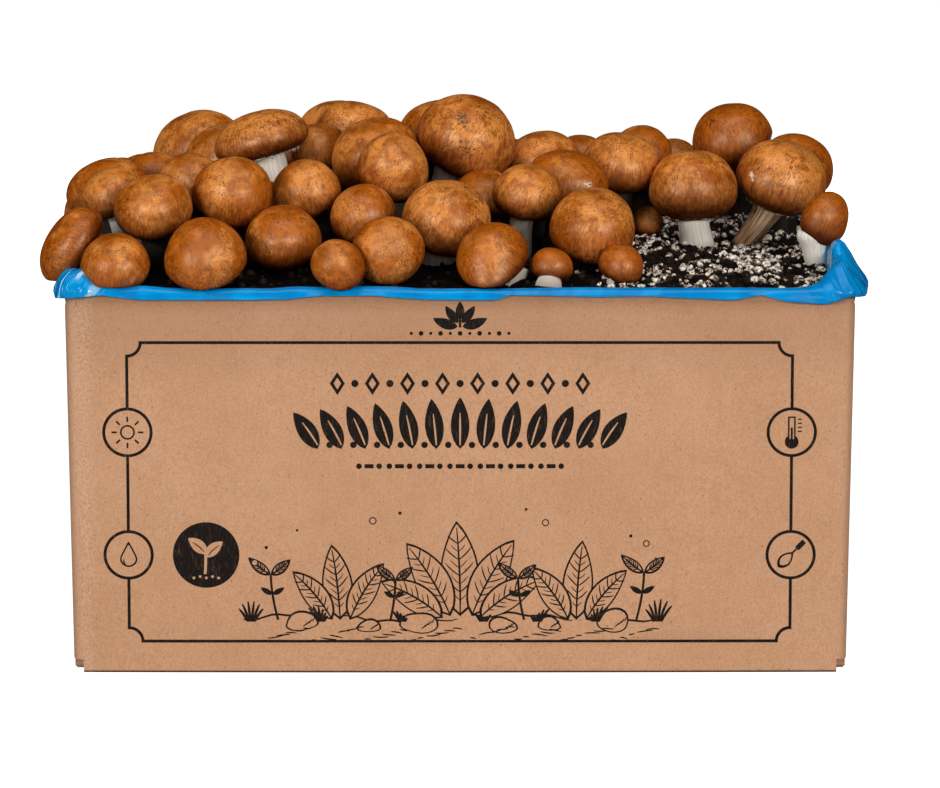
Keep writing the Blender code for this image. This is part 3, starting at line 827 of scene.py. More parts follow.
grains = {
    "crumbs": {"Density": 30000.0, "Spacing": 0.0026, "Least size": 0.0010, "Largest size": 0.0024,
               "Roughness": 0.0012, "Seed": 3},
    "mycelium": {"Density": 330000.0, "Spacing": 0.00196, "Least size": 0.0007, "Largest size": 0.0022,
                 "Roughness": 0.0034, "Seed": 8},
    # where few granules lie: x, y, reach along x and along y in millimetres, and how bare
    "darkPatches": ((124, -64, 19, 30, 0.96), (112, -106, 7, 28, 0.88), (178, -55, 8, 36, 0.94),
                    (145, 2, 9, 20, 0.85), (101, -82, 18, 19, 0.92), (108, 0, 14, 16, 0.9)),
    "subdivisions": 2,
    "formSeed": 5,
    "sizeSeed": 11,
    "tintSeed": 23,
    "white": (0.97, 0.89, 0.77, 1),
    "brownish": (0.30, 0.180, 0.110, 1),
    "grey": (0.022, 0.012, 0.007, 1),
}


def soilForm(x, y):
    halfX, halfY = carton["width"] / 2, carton["depth"] / 2
    dome = np.maximum(0.0, 1 - (x / halfX) ** 4) * np.maximum(0.0, 1 - (y / halfY) ** 4)
    heap = soil["crown"] + soil["heap"] * smoothStep(*soil["heapRange"], y)
    bare = smoothStep(70 * mm, 100 * mm, x) * (1 - smoothStep(60 * mm, 100 * mm, y))
    wavesX, wavesY, skew = soil["lumpWaves"]
    swell = np.sin(x * wavesX) * np.cos(y * wavesY + x * skew)
    return soil["edgeHeight"] + heap * dome + soil["lump"] * bare * swell


def soilHalf(height):
    inset = 2 * carton["board"] + soil["film"] + 2 * soil["gap"] + soil["clearance"]
    flare = carton["rimFlare"] * height / carton["height"]
    return carton["width"] / 2 + flare - inset, carton["depth"] / 2 + flare / 2 - inset


def soilInner():  # half the length and depth of the casing's top within its shoulder
    halfX, halfY = soilHalf(soil["edgeHeight"])
    return halfX - soil["shoulder"], halfY - soil["shoulder"]


def bareShare(x):  # 1 where the casing lies open to view, at the right
    return smoothStep(50 * mm, 84 * mm, x)


def soilTop(x, y):
    spots = flatSpots(x, y)
    rough = 1.5 * mm * latticeNoise(spots, 11 * mm, 1) + 1.1 * mm * latticeNoise(spots, 5 * mm, 2)
    rough = rough + 0.5 * mm * latticeNoise(spots, 2.6 * mm, 3)
    for px, py, radius, height in soil["mounds"]:
        rough = rough + height * mm * np.exp(-((x / mm - px) ** 2 + (y / mm - py) ** 2) / radius**2)
    return soilForm(x, y) + rough


def soilFinish():
    finish, tree, shader = newFinish("casingSoil", 0.95, 0.05)
    place = objectPlace(tree)
    broad = ranged(tree, cloudy(tree, place, 120.0, 4.0, 0.65), 0.4, 0.68)
    fine = ranged(tree, cloudy(tree, place, 700.0, 3.0, 0.6), 0.5, 0.72, 0.0, 0.75)
    base = layered(tree, soil["dark"], (
        (broad, soil["brown"]),
        (product(tree, fine, broad), soil["pale"]),
        # painted shade: the casing under the crowded caps is darkened
        (attributeOf(tree, "openShare").outputs["Fac"], 0.0, 1.0, 0.8, 0.0, soil["shadeUnderCaps"]),
    ))
    tree.links.new(base, shader.inputs["Base Color"])
    coarse = raised(tree, cloudy(tree, place, 420.0, 4.0, 0.7), 0.0012, 0.8)
    bumps = raised(tree, cloudy(tree, place, 1500.0, 2.0), 0.0004, 0.6, coarse)
    tree.links.new(bumps, shader.inputs["Normal"])
    return finish


def buildSoil(finish):
    halfX, halfY = soilHalf(soil["edgeHeight"])
    innerX, innerY = soilInner()
    countX, countY = round(2 * innerX / soil["step"]), round(2 * innerY / soil["step"])
    x = np.concatenate([[-halfX], np.linspace(-innerX, innerX, countX + 1), [halfX]])
    y = np.concatenate([[-halfY], np.linspace(-innerY, innerY, countY + 1), [halfY]])
    gridX, gridY = [a.ravel() for a in np.meshgrid(x, y)]
    onEdge = (abs(gridX) > innerX + 0.1 * mm) | (abs(gridY) > innerY + 0.1 * mm)
    calm = 1 - smoothStep(0.0, 9 * mm, np.minimum(halfX - abs(gridX), halfY - abs(gridY)))
    z = soilTop(gridX, gridY) * (1 - calm) + soilForm(gridX, gridY) * calm - soil["shoulder"] * onEdge
    columns, rows = len(x), len(y)
    faces = []
    for j in range(rows - 1):
        for i in range(columns - 1):
            a = j * columns + i
            faces.append((a, a + 1, a + columns + 1, a + columns))
    bottom = 2 * carton["board"] + 2 * soil["gap"] + soil["film"]
    lowX, lowY = soilHalf(bottom)
    base = columns * rows
    sides = ((-1, -1), (1, -1), (1, 1), (-1, 1))
    corners = [(sideX * lowX, sideY * lowY, bottom) for sideX, sideY in sides]
    faces.append((base, base + 3, base + 2, base + 1))
    front = list(range(columns))
    right = [j * columns + columns - 1 for j in range(rows)]
    back = [(rows - 1) * columns + i for i in range(columns - 1, -1, -1)]
    left = [j * columns for j in range(rows - 1, -1, -1)]
    for side, above in enumerate((front, right, back, left)):
        faces.append((base + side, base + (side + 1) % 4, *reversed(above)))
    white = whiteShare(gridX, gridY) * (1 - onEdge)
    crumbShare = np.clip(0.35 + 0.65 * bareShare(gridX), 0, 1) * (1 - onEdge)
    points = np.vstack([np.stack([gridX, gridY, z], 1), corners])
    share = {}
    for label, values in (("mycelium", white), ("crumbs", crumbShare), ("open", bareShare(gridX))):
        share[label + "Share"] = ("FLOAT", np.concatenate([values, np.zeros(len(corners))]))
    piece = addPiece("casing_surface", points, faces, (finish,), None, share)
    piece.data.set_sharp_from_angle(angle=math.radians(soil["sharpDegrees"]))
    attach(piece, "root")
    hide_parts("casing_soil")
    return piece


def whiteShare(x, y):
    spots = flatSpots(x, y)
    clumps = 0.8 * latticeNoise(spots, 13 * mm, 5) + 0.9 * latticeNoise(spots, 5 * mm, 6)
    share = bareShare(x) * (0.08 + 0.92 * smoothStep(-0.30, 0.20, clumps))
    for px, py, alongX, alongY, depth in grains["darkPatches"]:
        away = ((x / mm - px) / alongX) ** 2 + ((y / mm - py) / alongY) ** 2
        share = share * (1 - depth * np.exp(-(away**2)))
    return np.clip(share, 0, 1)


def grainTree(name, finish):
    tree, entry = newTree(name, ("Density", "Float"), ("Spacing", "Float"), ("Least size", "Float"),
                          ("Largest size", "Float"), ("Roughness", "Float"), ("Seed", "Int"))

    def randomValue(kind, inputs):
        return addNode(tree, "FunctionNodeRandomValue", inputs, data_type=kind).outputs

    def vectors(operation, inputs):
        return addNode(tree, "ShaderNodeVectorMath", inputs, operation=operation).outputs[0]

    share = addNode(tree, "GeometryNodeInputNamedAttribute", {"Name": name + "Share"}, data_type="FLOAT")
    inputs = {"Mesh": entry["Geometry"], "Distance Min": entry["Spacing"], "Density Max": entry["Density"],
              "Density Factor": share.outputs[0], "Seed": entry["Seed"]}
    spots = addNode(tree, "GeometryNodeDistributePointsOnFaces", inputs, distribute_method="POISSON")
    turn = randomValue("FLOAT_VECTOR", {0: (0, 0, 0), 1: (6.28, 6.28, 6.28), 8: entry["Seed"]})[0]
    form = randomValue("FLOAT_VECTOR", {0: (0.75, 0.75, 0.6), 1: (1.2, 1.2, 1.0), 8: grains["formSeed"]})[0]
    size = randomValue("FLOAT", {2: entry["Least size"], 3: entry["Largest size"], 8: grains["sizeSeed"]})[1]
    sphere = {"Radius": 1.0, "Subdivisions": grains["subdivisions"]}
    lump = addNode(tree, "GeometryNodeMeshIcoSphere", sphere).outputs[0]
    inputs = {"Points": spots.outputs[0], "Instance": lump, "Rotation": turn,
              "Scale": vectors("SCALE", {0: form, 3: size})}
    placed = addNode(tree, "GeometryNodeInstanceOnPoints", inputs)
    chance = randomValue("FLOAT", {2: 0.0, 3: 1.0, 8: grains["tintSeed"]})[1]
    inputs = {"Geometry": placed.outputs[0], "Name": "grainTint", "Value": chance}
    tinted = addNode(tree, "GeometryNodeStoreNamedAttribute", inputs, data_type="FLOAT", domain="INSTANCE")
    real = addNode(tree, "GeometryNodeRealizeInstances", {0: tinted.outputs[0]})
    spot = addNode(tree, "GeometryNodeInputPosition").outputs[0]
    uneven = addNode(tree, "ShaderNodeTexNoise", {"Vector": spot, "Scale": 900.0, "Detail": 3.0})
    centred = vectors("SUBTRACT", {0: uneven.outputs["Color"], 1: (0.5, 0.5, 0.5)})
    inputs = {"Geometry": real.outputs[0], "Offset": vectors("SCALE", {0: centred, 3: entry["Roughness"]})}
    bumpy = addNode(tree, "GeometryNodeSetPosition", inputs)
    return endTree(tree, bumpy.outputs[0], finish)


def grainFinish(name, pale, between, dark, low, high):
    finish, tree, shader = newFinish(name, 0.86, 0.15)
    place = objectPlace(tree)
    tint = attributeOf(tree, "grainTint").outputs["Fac"]
    normal = addNode(tree, "ShaderNodeNewGeometry").outputs["Normal"]
    upwards = addNode(tree, "ShaderNodeSeparateXYZ", {0: normal}).outputs[2]
    patchy = cloudy(tree, place, 700.0, 3.0, 0.7)
    level = sums(tree, "ADD", patchy, product(tree, tint, 0.20))
    middle = (low + high) / 2
    base = layered(tree, dark, (
        (level, low, middle, between),
        (level, middle, high, pale),
        (upwards, -0.4, 0.5, 0.85, 0.0, dark),  # painted shade on the undersides
    ))
    tree.links.new(base, shader.inputs["Base Color"])
    tree.links.new(raised(tree, cloudy(tree, place, 1300.0, 3.0), 0.0005, 0.7), shader.inputs["Normal"])
    return finish


def scatterGrains(name, carrier, key, finish):
    piece = grownFrom(carrier, name, grainTree(key, finish), grains[key])
    piece.data.shade_smooth()
    print(name, len(piece.data.polygons), "faces")
    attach(piece, "root")


casing = buildSoil(soilFinish())
crumbEarth = grainFinish("crumbEarth", soil["brown"], soil["brown"], soil["dark"], 0.45, 0.85)
scatterGrains("casing_crumbs", casing, "crumbs", crumbEarth)
whiteGrain = grainFinish("myceliumWhite", grains["white"], grains["brownish"], grains["grey"], 0.47, 0.64)
scatterGrains("mycelium_granules", casing, "mycelium", whiteGrain)
print("soil built")


# Film liner

liner = {
    "gap": 0.35 * mm,
    "thickness": 0.22 * mm,
    "rimTop": 200.3 * mm,
    "sideSteps": (168, 124),
    "cornerSteps": 14,
    # drop below the carton's rim along the front, from left to right, in millimetres
    "frontHem": (
        (-207, 2.4), (-196, 2.0), (-182, 0.7), (-172, 2.2), (-163, 3.2), (-107, 3.2), (-88, 2.8), (-78, 1.6),
        (-70, 0.9), (-42, 0.9), (-33, 1.9), (-16, 2.9), (-5, 3.1), (18, 3.3), (25.5, 0.6), (45, 1.0),
        (71, 1.5), (97, 1.2), (110, 2.0), (121, 2.5), (139, 3.4), (147, 2.0), (154, 0.6), (160, 2.4),
        (167, 4.2), (185, 5.5), (192, 3.6), (197.5, 1.4), (207, 1.9),
    ),
    # how much higher the front stands in places, from left to right, in millimetres
    "frontRise": (
        (-180, 0.0), (-163, 1.0), (-152, 0.0), (-100, 0.0), (-84, 0.9), (-71, 0.3), (-50, 0.9), (-33, 0.8),
        (-22, 0.0), (30, 0.0), (60, 0.4), (150, 0.3), (165, 0.0),
    ),
    "wallRows": (8.6, 60, 110, 150, 175, 186),  # heights of the rows on the inner wall, in millimetres
    # rows over the rim: share across it, what the height is taken from, height in millimetres, and how far
    # a lobe lifts, moves in and moves out
    "rimRows": (
        (0.0, "rim", -8, 0.0, 0.10, 0), (0.0, "rim", -5, 0.05, 0.45, 0), (0.0, "rim", -2.6, 0.15, 0.85, 0),
        (0.01, "rim", -0.4, 0.32, 1.0, 0), (0.05, "rim", 1.3, 0.55, 0.95, 0),
        (0.16, "top", -0.4, 0.78, 0.75, 0), (0.32, "top", 0, 0.94, 0.50, 0),
        (0.50, "top", 0.1, 1.0, 0.25, 0.1), (0.68, "top", 0, 0.94, 0.05, 0.3),
        (0.84, "top", -0.4, 0.74, 0, 0.6),
        (0.96, "top", -1.1, 0.48, 0, 0.9), (1.03, "rim", 0.2, 0.26, 0, 1.0),
    ),
    "rowsOverCasing": (6, 14),
    "otherHem": 3.6 * mm,
    "foldDrift": 0.005,  # how far the folds lean towards the corners from row to row, over their distance
    # corner lobes: height, reach inwards and outwards, spread along the front and the side, how far back
    # from the corner the lobe is highest, and how much higher it stands at its inner side
    "lobes": {
        "frontRight": {
            "corner": (1, -1), "height": 17, "inward": 4, "outward": 6.5, "alongX": 12.5, "alongY": 60,
            "setBack": 40, "lean": 1.3,
        },
        "frontLeft": {
            "corner": (-1, -1), "height": 9, "inward": 8, "outward": 4.5, "alongX": 16, "alongY": 40,
            "setBack": 0, "lean": 0.0,
        },
        "backRight": {
            "corner": (1, 1), "height": 4, "inward": 8, "outward": 2.5, "alongX": 26, "alongY": 26,
            "setBack": 0, "lean": 0.0,
        },
        "backLeft": {
            "corner": (-1, 1), "height": 4, "inward": 8, "outward": 2.5, "alongX": 26, "alongY": 26,
            "setBack": 0, "lean": 0.0,
        },
    },
    "colour": (0.0004, 0.305, 0.720, 1),
    "deep": (0.0003, 0.225, 0.580, 1),
    "pale": (0.050, 0.440, 0.800, 1),
    "shadow": (0.0004, 0.115, 0.300, 1),
    "glint": (0.560, 0.780, 0.940, 1),
}


def linerColumns():  # the rim's inner and outer lines, with matching columns
    steps, arc = carton["sideSteps"], carton["cornerSteps"]
    carton["sideSteps"], carton["cornerSteps"] = liner["sideSteps"], liner["cornerSteps"]
    inner = cartonSection(carton["height"], 2 * carton["board"] + liner["gap"], 2.4 * mm)[:, :2]
    outer = cartonSection(carton["height"], -liner["gap"], 6.6 * mm)[:, :2]
    carton["sideSteps"], carton["cornerSteps"] = steps, arc
    return inner, outer


def readOff(table, x):
    places, values = (np.array(table) * mm).T
    return np.interp(x, places, values)


def hemDrop(x, y):
    spots = flatSpots(x, y)
    uneven = 1 + 0.45 * latticeNoise(spots, 38 * mm, 12) + 0.2 * latticeNoise(spots, 12 * mm, 13)
    share = smoothStep(-carton["depth"] / 2 + 1 * mm, -carton["depth"] / 2 + 14 * mm, y)
    return readOff(liner["frontHem"], x) * (1 - share) + liner["otherHem"] * uneven * share


def frontRise(x, y):
    return readOff(liner["frontRise"], x) * (1 - smoothStep(-150 * mm, -140 * mm, y))


def lobeShares(x, y):
    shares = []
    for lobe in liner["lobes"].values():
        signX, signY = lobe["corner"]
        awayX = (carton["width"] / 2 - signX * x) / (lobe["alongX"] * mm)
        back = np.maximum(carton["depth"] / 2 - signY * y, 0) - lobe["setBack"] * mm
        awayY = back / (lobe["alongY"] * mm)
        shares.append(np.exp(-np.maximum(awayX, 0) ** 2) * np.exp(-(awayY**2)))
    return shares


def filmFinish():
    finish, tree, shader = newFinish("blueFilm", 0.17, 0.22)
    place = objectPlace(tree)
    folded = attributeOf(tree, "foldPlace").outputs["Vector"]
    loose = attributeOf(tree, "looseness").outputs["Fac"]
    soft = cloudy(tree, place, 60.0, 2.0, 0.5, 0.8)
    streaks = cloudy(tree, folded, 120.0, 3.0, 0.5, 0.5)
    ridge = sums(tree, "ABSOLUTE", sums(tree, "SUBTRACT", cloudy(tree, folded, 150.0, 1.0, 0.5, 0.4), 0.5))
    # painted highlights: sheen on the fold ridges, glints and lighter bands; painted shade: the hollows and
    # darker bands
    ridgeSheen = product(tree, ranged(tree, streaks, 0.55, 0.70, 0.0, 0.60), loose)
    hollows = product(tree, ranged(tree, streaks, 0.42, 0.30, 0.0, 0.40), loose)
    glints = product(tree, ranged(tree, streaks, 0.58, 0.64, 0.0, 0.90), loose)
    lengthwise = cloudy(tree, stretched(tree, place, (0.08, 0.08, 1.0)), 420.0, 2.0, 0.5)
    tight = ranged(tree, loose, 0.1, 0.5, 1.0, 0.1)
    lighter = product(tree, ranged(tree, lengthwise, 0.56, 0.70, 0.0, 0.16), tight)
    darker = product(tree, ranged(tree, lengthwise, 0.46, 0.34, 0.0, 0.22), tight)
    base = layered(tree, liner["colour"], (
        (soft, 0.35, 0.65, liner["deep"]),
        (ridgeSheen, liner["pale"]),
        (hollows, liner["shadow"]),
        (glints, liner["glint"]),
        (lighter, liner["pale"]),
        (darker, liner["shadow"]),
    ))
    tree.links.new(base, shader.inputs["Base Color"])
    tree.links.new(ranged(tree, soft, 0.3, 0.7, 0.08, 0.20), shader.inputs["Roughness"])
    bands = raised(tree, product(tree, lengthwise, tight), 0.0010, 0.35)
    height = product(tree, sums(tree, "ADD", streaks, ranged(tree, ridge, 0.0, 0.12, 0.8, 0.0)), loose)
    folds = raised(tree, height, 0.0016, 0.6, bands)
    tree.links.new(folds, shader.inputs["Normal"])
    return finish


def buildLiner(finish):
    inner, outer = linerColumns()
    count = len(inner)
    hem = hemDrop(outer[:, 0], outer[:, 1])
    shares = lobeShares(outer[:, 0], outer[:, 1])
    rim = carton["height"]
    levels = {"rim": rim, "top": liner["rimTop"]}
    profile = [(0.0, z * mm, 0, 0, 0) for z in liner["wallRows"]]
    profile += [(across, levels[start] + z * mm, *moves) for across, start, z, *moves in liner["rimRows"]]
    hang = [(1.05 + 0.03 * k, k / 4, 0.10 - 0.025 * k, 0, 1.0 - 0.12 * k) for k in range(1, 5)]
    outward = outer - inner
    facing = outward / np.linalg.norm(outward, axis=1)[:, None]
    tangent = np.column_stack([-facing[:, 1], facing[:, 0]])
    drift = tangent * (np.sum(outer * tangent, axis=1) * liner["foldDrift"])[:, None]
    lobes = list(liner["lobes"].values())
    rows = []
    for index, (across, z, lift, inMove, outMove) in enumerate(profile + hang):
        hanging = index >= len(profile)
        ring = np.zeros((count, 3))
        ring[:, :2] = inner + outward * across
        ring[:, 2] = rim + 0.2 * mm - (hem + 0.2 * mm) * z if hanging else z
        free = smoothStep(rim - 9 * mm, rim - 1 * mm, ring[:, 2].mean()) if not hanging else 1.0
        for share, lobe in zip(shares, lobes):
            pleat = 1 + 0.30 * latticeNoise(ring * (1, 1, 0.5), 6 * mm, 21)
            pleat = pleat + 0.25 * latticeNoise(ring, 14 * mm, 22)
            lean = 1 + lobe["lean"] * (0.45 - across)
            ring[:, 2] += share * lift * lean * lobe["height"] * mm * pleat
            move = (outMove * lobe["outward"] - inMove * lobe["inward"]) * mm * share * (0.8 + 0.2 * pleat)
            ring[:, :2] += facing * move[:, None]
        near = np.clip(sum(shares), 0, 1)
        along = np.column_stack([outer - drift * index, np.full(count, index * 0.45 * mm)])
        ridges = 0.6 - abs(latticeNoise(along, 12 * mm, 31)) * 2.0  # folds run slantwise across the rim
        small = 0.5 - abs(latticeNoise(along, 5 * mm, 32)) * 1.7
        loose = latticeNoise(ring, 17 * mm, 34)
        folds = (0.10 + 2.9 * near) * ridges + (0.04 + 0.8 * near) * small + 0.9 * near * loose
        crumple = free * folds * mm
        if across > 0.9:  # the hanging edge only swells outwards
            ring[:, :2] += facing * np.maximum(crumple + 0.15 * mm, 0)[:, None]
        else:
            waves = 0.40 * latticeNoise(ring * (1, 1, 0), 30 * mm, 33) * mm * free
            ring[:, 2] += crumple * 0.9 * (across > 0.0) + waves
            ring[:, :2] -= facing * np.maximum(crumple, 0)[:, None] * (across <= 0.2)
        ring[:, 2] += frontRise(outer[:, 0], outer[:, 1]) * lift
        if 0.0 < across < 1.0:  # clear of the board
            ring[:, 2] = np.maximum(ring[:, 2], rim + 0.5 * mm)
        rows.append(ring)
    halfX, halfY = soilHalf(soil["edgeHeight"])
    first, last = liner["rowsOverCasing"]
    for ring in rows[first:last]:  # the film lies on the casing where it leans in over it
        inside = (abs(ring[:, 0]) < halfX - 1 * mm) & (abs(ring[:, 1]) < halfY - 1 * mm)
        floor = soilForm(ring[:, 0], ring[:, 1]) + 1.2 * mm
        ring[:, 2] = np.where(inside, np.maximum(ring[:, 2], floor), ring[:, 2])
    faces = bandFaces(len(rows), count) + [tuple(range(count))]
    foldPlace = []
    for index in range(len(rows)):
        foldPlace.append(np.column_stack([outer - drift * index, np.full(count, index * 0.3 * mm)]))
    attributes = {
        "looseness": ("FLOAT", np.tile(np.clip(sum(shares), 0, 1), len(rows))),
        "foldPlace": ("FLOAT_VECTOR", np.vstack(foldPlace)),
    }
    piece = addPiece("film_bag", np.vstack(rows), faces, (finish,), None, attributes)
    area = sum(face.area for face in piece.data.polygons)
    print("film area", round(area, 4))
    thick = piece.modifiers.new("thickness", "SOLIDIFY")
    thick.thickness = liner["thickness"]
    thick.offset = 0
    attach(piece, "root")
    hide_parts("film_liner")


buildLiner(filmFinish())
print("liner built")


# Mushrooms

crop = {
    "domeShare": 0.6,
    "stemShare": 0.37,
    "stemExtra": 0.8 * mm,
    "stemFlare": 1.12,
    "stemTop": 0.62,
    "stemBend": 0.45,
    "footSink": 3.0 * mm,
    "feetApart": 3 * mm,
    "footFromFilm": 1 * mm,
    "ovalShare": 0.028,
    "threeLobeShare": 0.016,
    "squash": 1.5 * mm,
    "touchGap": 0.4 * mm,
    "settlePasses": 60,
    "settleReach": 60 * mm,
    "settleGive": (0.3, 1.0, 0.3),
    "pressPasses": 14,
    "pressDirections": 420,
    "pressSoftness": 0.5 * mm,
    "coarseAround": 10,
    "around": 44,
    "capRings": (4, *range(9, 136, 6)),  # degrees from the crown
    "fullness": (0.90, 0.70),  # of the dome and of the rounded underside; 1 is an ellipse
    "lipRings": ((0.935, 1.075), (0.872, 1.130), (0.802, 1.118), (0.751, 1.050)),  # over the last cap ring
    "underRings": ((0.64, 0.970), (0.0, 0.920)),
    "stemRings": 15,
    "leanOver": 0.6,  # how far the low side of a cap on the rim leans out, over what would clear the film
    "marginDegrees": 139,  # from the crown to where the skin counts as margin
    # places along a mushroom for its patterns, which go on from the cap's angles: lip, underside, stem's top
    "lipAlong": 2.45,
    "underAlong": 2.6,
    "stemAlong": 3.0,
    "stemSwell": 0.22,  # share of the stem over which a wide top swells out
    "fringeGaps": 0.2,  # chance that a tooth of the fringe is missing
    "clearOfFilm": 0.9 * mm,
    "clearOfFront": 1.4 * mm,
    "clearOfSoil": 0.8 * mm,
    "sagOverRim": 0.8 * mm,
    "patternShift": 0.37,  # from one mushroom's pattern to the next
    "lumps": (0.024, 0.008),  # large and small unevenness, over the cap's radius
}

# Each row: place of the cap's widest level in millimetres (x, y, z), cap diameter in millimetres,
# cap height over diameter, direction that the crown leans to (0 right, 90 back) and lean, in degrees
mushrooms = (
    (-197, -124, 217, 39, 0.78, 186, 60),
    (-180, -132, 211, 37, 0.76, 250, 25),
    (-187, -36, 237, 44, 0.70, 200, 14),
    (-181, -77, 239, 33, 0.76, 200, 22),
    (-161, -94, 235, 40, 0.76, 262, 25),
    (-143, -40, 242, 36, 0.78, 270, 15),
    (-165, 0, 240, 33, 0.80, 250, 10),
    (-144, 88, 246, 52, 0.76, 200, 22),
    (-127, 44, 246, 46, 0.74, 250, 20),
    (-107, 0, 262, 51, 0.52, 176, 16),
    (-119, -80, 241, 41, 0.80, 282, 35),
    (-131, -139, 214, 43, 0.80, 268, 60),
    (-92, -104, 219, 41, 0.76, 265, 15),
    (-81, -56, 239, 36, 0.84, 225, 25),
    (-68, 95, 254, 48, 0.70, 270, 10),
    (-58, 48, 261, 44, 0.68, 0, 10),
    (-77, 22, 254, 30, 0.84, 250, 15),
    (-45, -8, 253, 47, 0.76, 225, 28),
    (-36, -54, 251, 38, 0.86, 300, 45),
    (-50, -74, 229, 36, 0.80, 215, 28),
    (-38, -134, 217, 37, 0.88, 275, 60),
    (-61, -146, 211, 28, 0.98, 240, 55),
    (-7, -95, 228, 46, 0.80, 300, 25),
    (3, 0, 261, 53, 0.78, 318, 30),
    (-11, 57, 260, 47, 0.66, 180, 10),
    (17, -132, 213, 39, 0.78, 220, 40),
    (35, -65, 238, 36, 0.80, 320, 15),
    (46, 15, 248, 40, 0.72, 270, 12),
    (65, 70, 241, 34, 0.84, 280, 10),
    (57, -25, 241, 45, 0.66, 300, 10),
    (69, -101, 225, 46, 0.78, 280, 25),
    (47, -131, 209, 22, 0.76, 0, 8),
    (83, -128, 209, 24, 0.78, 320, 22),
    (102, 8, 216, 16, 0.98, 270, 10),
    (86, 2, 247, 43, 0.72, 290, 10),
    (100, 55, 248, 34, 0.84, 280, 8),
    (119, 95, 239, 29, 0.84, 270, 8),
    (125, -12, 235, 48, 0.78, 95, 4),
    (151, 62, 255, 46, 0.76, 195, 14),
    (185, 58, 241, 41, 0.76, 10, 25),
    (173, 3, 239, 51, 0.74, 335, 24),
    (192, -60, 224, 25, 1.14, 350, 22),
    (-178, 120, 225, 40, 0.74, 120, 15),
    (-133, 127, 226, 38, 0.76, 95, 12),
    (-98, 124, 236, 36, 0.78, 80, 15),
    (-28, 120, 238, 44, 0.72, 100, 10),
    (18, 124, 234, 42, 0.74, 85, 14),
    (64, 119, 231, 43, 0.72, 75, 12),
    (105, 122, 228, 36, 0.78, 90, 20),
    (-186, 46, 230, 38, 0.78, 170, 20),
    (-198, 6, 222, 33, 0.80, 185, 25),
    (-64, 131, 230, 34, 0.78, 100, 16),
    (142, 112, 229, 38, 0.78, 100, 15),
    (34, 80, 237, 42, 0.72, 60, 8),
    (-106, -36, 228, 35, 0.76, 200, 10),
    (13, -30, 233, 34, 0.80, 250, 12),
    (178, 108, 226, 37, 0.80, 60, 20),
)

# Single mushrooms that differ: feet that stand off (millimetres), lighter or darker skin, many dark specks,
# a torn white fringe below the margin (length in millimetres)
ownTraits = {
    "slantedStems": {31: (-6, -4), 38: (3, 0), 41: (-9, 2), 42: (5, 0)},
    "tone": {
        1: -0.35, 2: -0.1, 3: -0.2, 4: 0.45, 5: 0.0, 6: 0.1, 7: 0.1, 8: 0.35, 9: 0.3, 10: 0.45, 11: 0.05,
        12: -0.4, 13: -0.3, 15: 0.35, 16: 0.4, 18: -0.2, 22: -0.5, 23: 0.4, 24: 0.35, 25: -0.1, 26: -0.4,
        27: 0.3, 28: 0.1, 30: -0.6, 31: -0.1, 32: -0.5, 33: -0.3, 35: 0.3, 38: 0.25, 39: -0.7, 40: -0.5,
        41: 0.6, 42: -0.6,
    },
    "specks": {13: 0.9, 23: 0.9, 24: 1.0, 30: 0.8, 31: 0.8, 34: 0.9, 5: 0.4, 20: 0.4, 35: 0.35},
    "fringes": {10: 4.4, 38: 1.7, 41: 2.6, 13: 1.4},
    "bruised": {41: 1.0, 39: 0.3, 23: 0.15, 13: 0.3, 35: 0.25},
    "pressedByRim": (12, 22, 26),
    "ovals": {1: (56, 1.13, 0.82)},  # seen from the front: direction in degrees, scale along and across it
    # direction from the cap's centre, reach in millimetres, and 1 for torn pale skin or -1 for dark pits
    "scars": {
        30: (((0.48, -0.87, 0.00), 6.0, 1.0), ((0.30, -0.92, 0.02), 5.0, -1.0)),
        41: (((-0.62, -0.75, 0.22), 3.4, 1.0),),
        24: (((-0.12, -0.80, 0.50), 7.0, -1.0), ((-0.02, -0.98, -0.05), 8.0, -1.0),
             ((0.46, -0.62, 0.62), 3.5, -1.0)),
        40: (((0.62, -0.70, 0.25), 5.0, -1.0),),
        39: (((-0.60, -0.55, 0.55), 4.0, -1.0),),
    },
    "stemWidth": {41: 0.72, 27: 0.85, 32: 1.22, 33: 1.2, 38: 0.92, 46: 1.3},
    "stemTaper": {42: (1.65, 0.80), 41: (1.35, 0.62), 38: (1.02, 0.90)},  # at the top and at the foot
    "topShift": {42: (-4, -2, 4)},  # millimetres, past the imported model's
    "footShift": {42: (6, 0), 41: (-3, -8), 26: (4, -7), 32: (0, -8), 33: (3, -8)},
    # fullness of the dome and of the underside, and how much further the margin closes under the cap
    "closing": {38: (0.76, 0.92, 15), 41: (0.88, 0.85, 9), 42: (0.94, 0.9, 8), 2: (0.9, 0.85, 8),
                39: (0.85, 0.85, 8), 12: (0.9, 0.85, 8)},
    # how much of its own pale colour each stem keeps, where the others are darkened with painted shade deep
    # in the crowd
    "stemsOutOfShade": {4: 1.0, 10: 1.0, 23: 0.55, 24: 0.9, 26: 0.9, 27: 1.0, 32: 1.0, 33: 1.0, 38: 1.0, 41: 1.0,
                  42: 1.0, 34: 0.6, 40: 0.0, 57: 0.0},
    # how much pale colour the painted shade leaves the other stems, in front and among the hidden ones
    "shadedStem": 0.02,
    "firstHidden": 43,  # from this number on they are seen from the back only
    "hiddenStem": 0.12,
}


def direction(azimuth, lean):
    turn, tip = math.radians(azimuth), math.radians(lean)
    return np.array([math.sin(tip) * math.cos(turn), math.sin(tip) * math.sin(turn), math.cos(tip)])


def soilGridPoint(i, j):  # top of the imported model's casing at its coarse grid's point
    spot = []
    for inner, cells, index in zip(soilInner(), soil["packedCells"], (i, j)):
        spot.append(-inner + 2 * inner * min(max(index - 1, 0), cells) / cells)
    return float(soilForm(*spot))


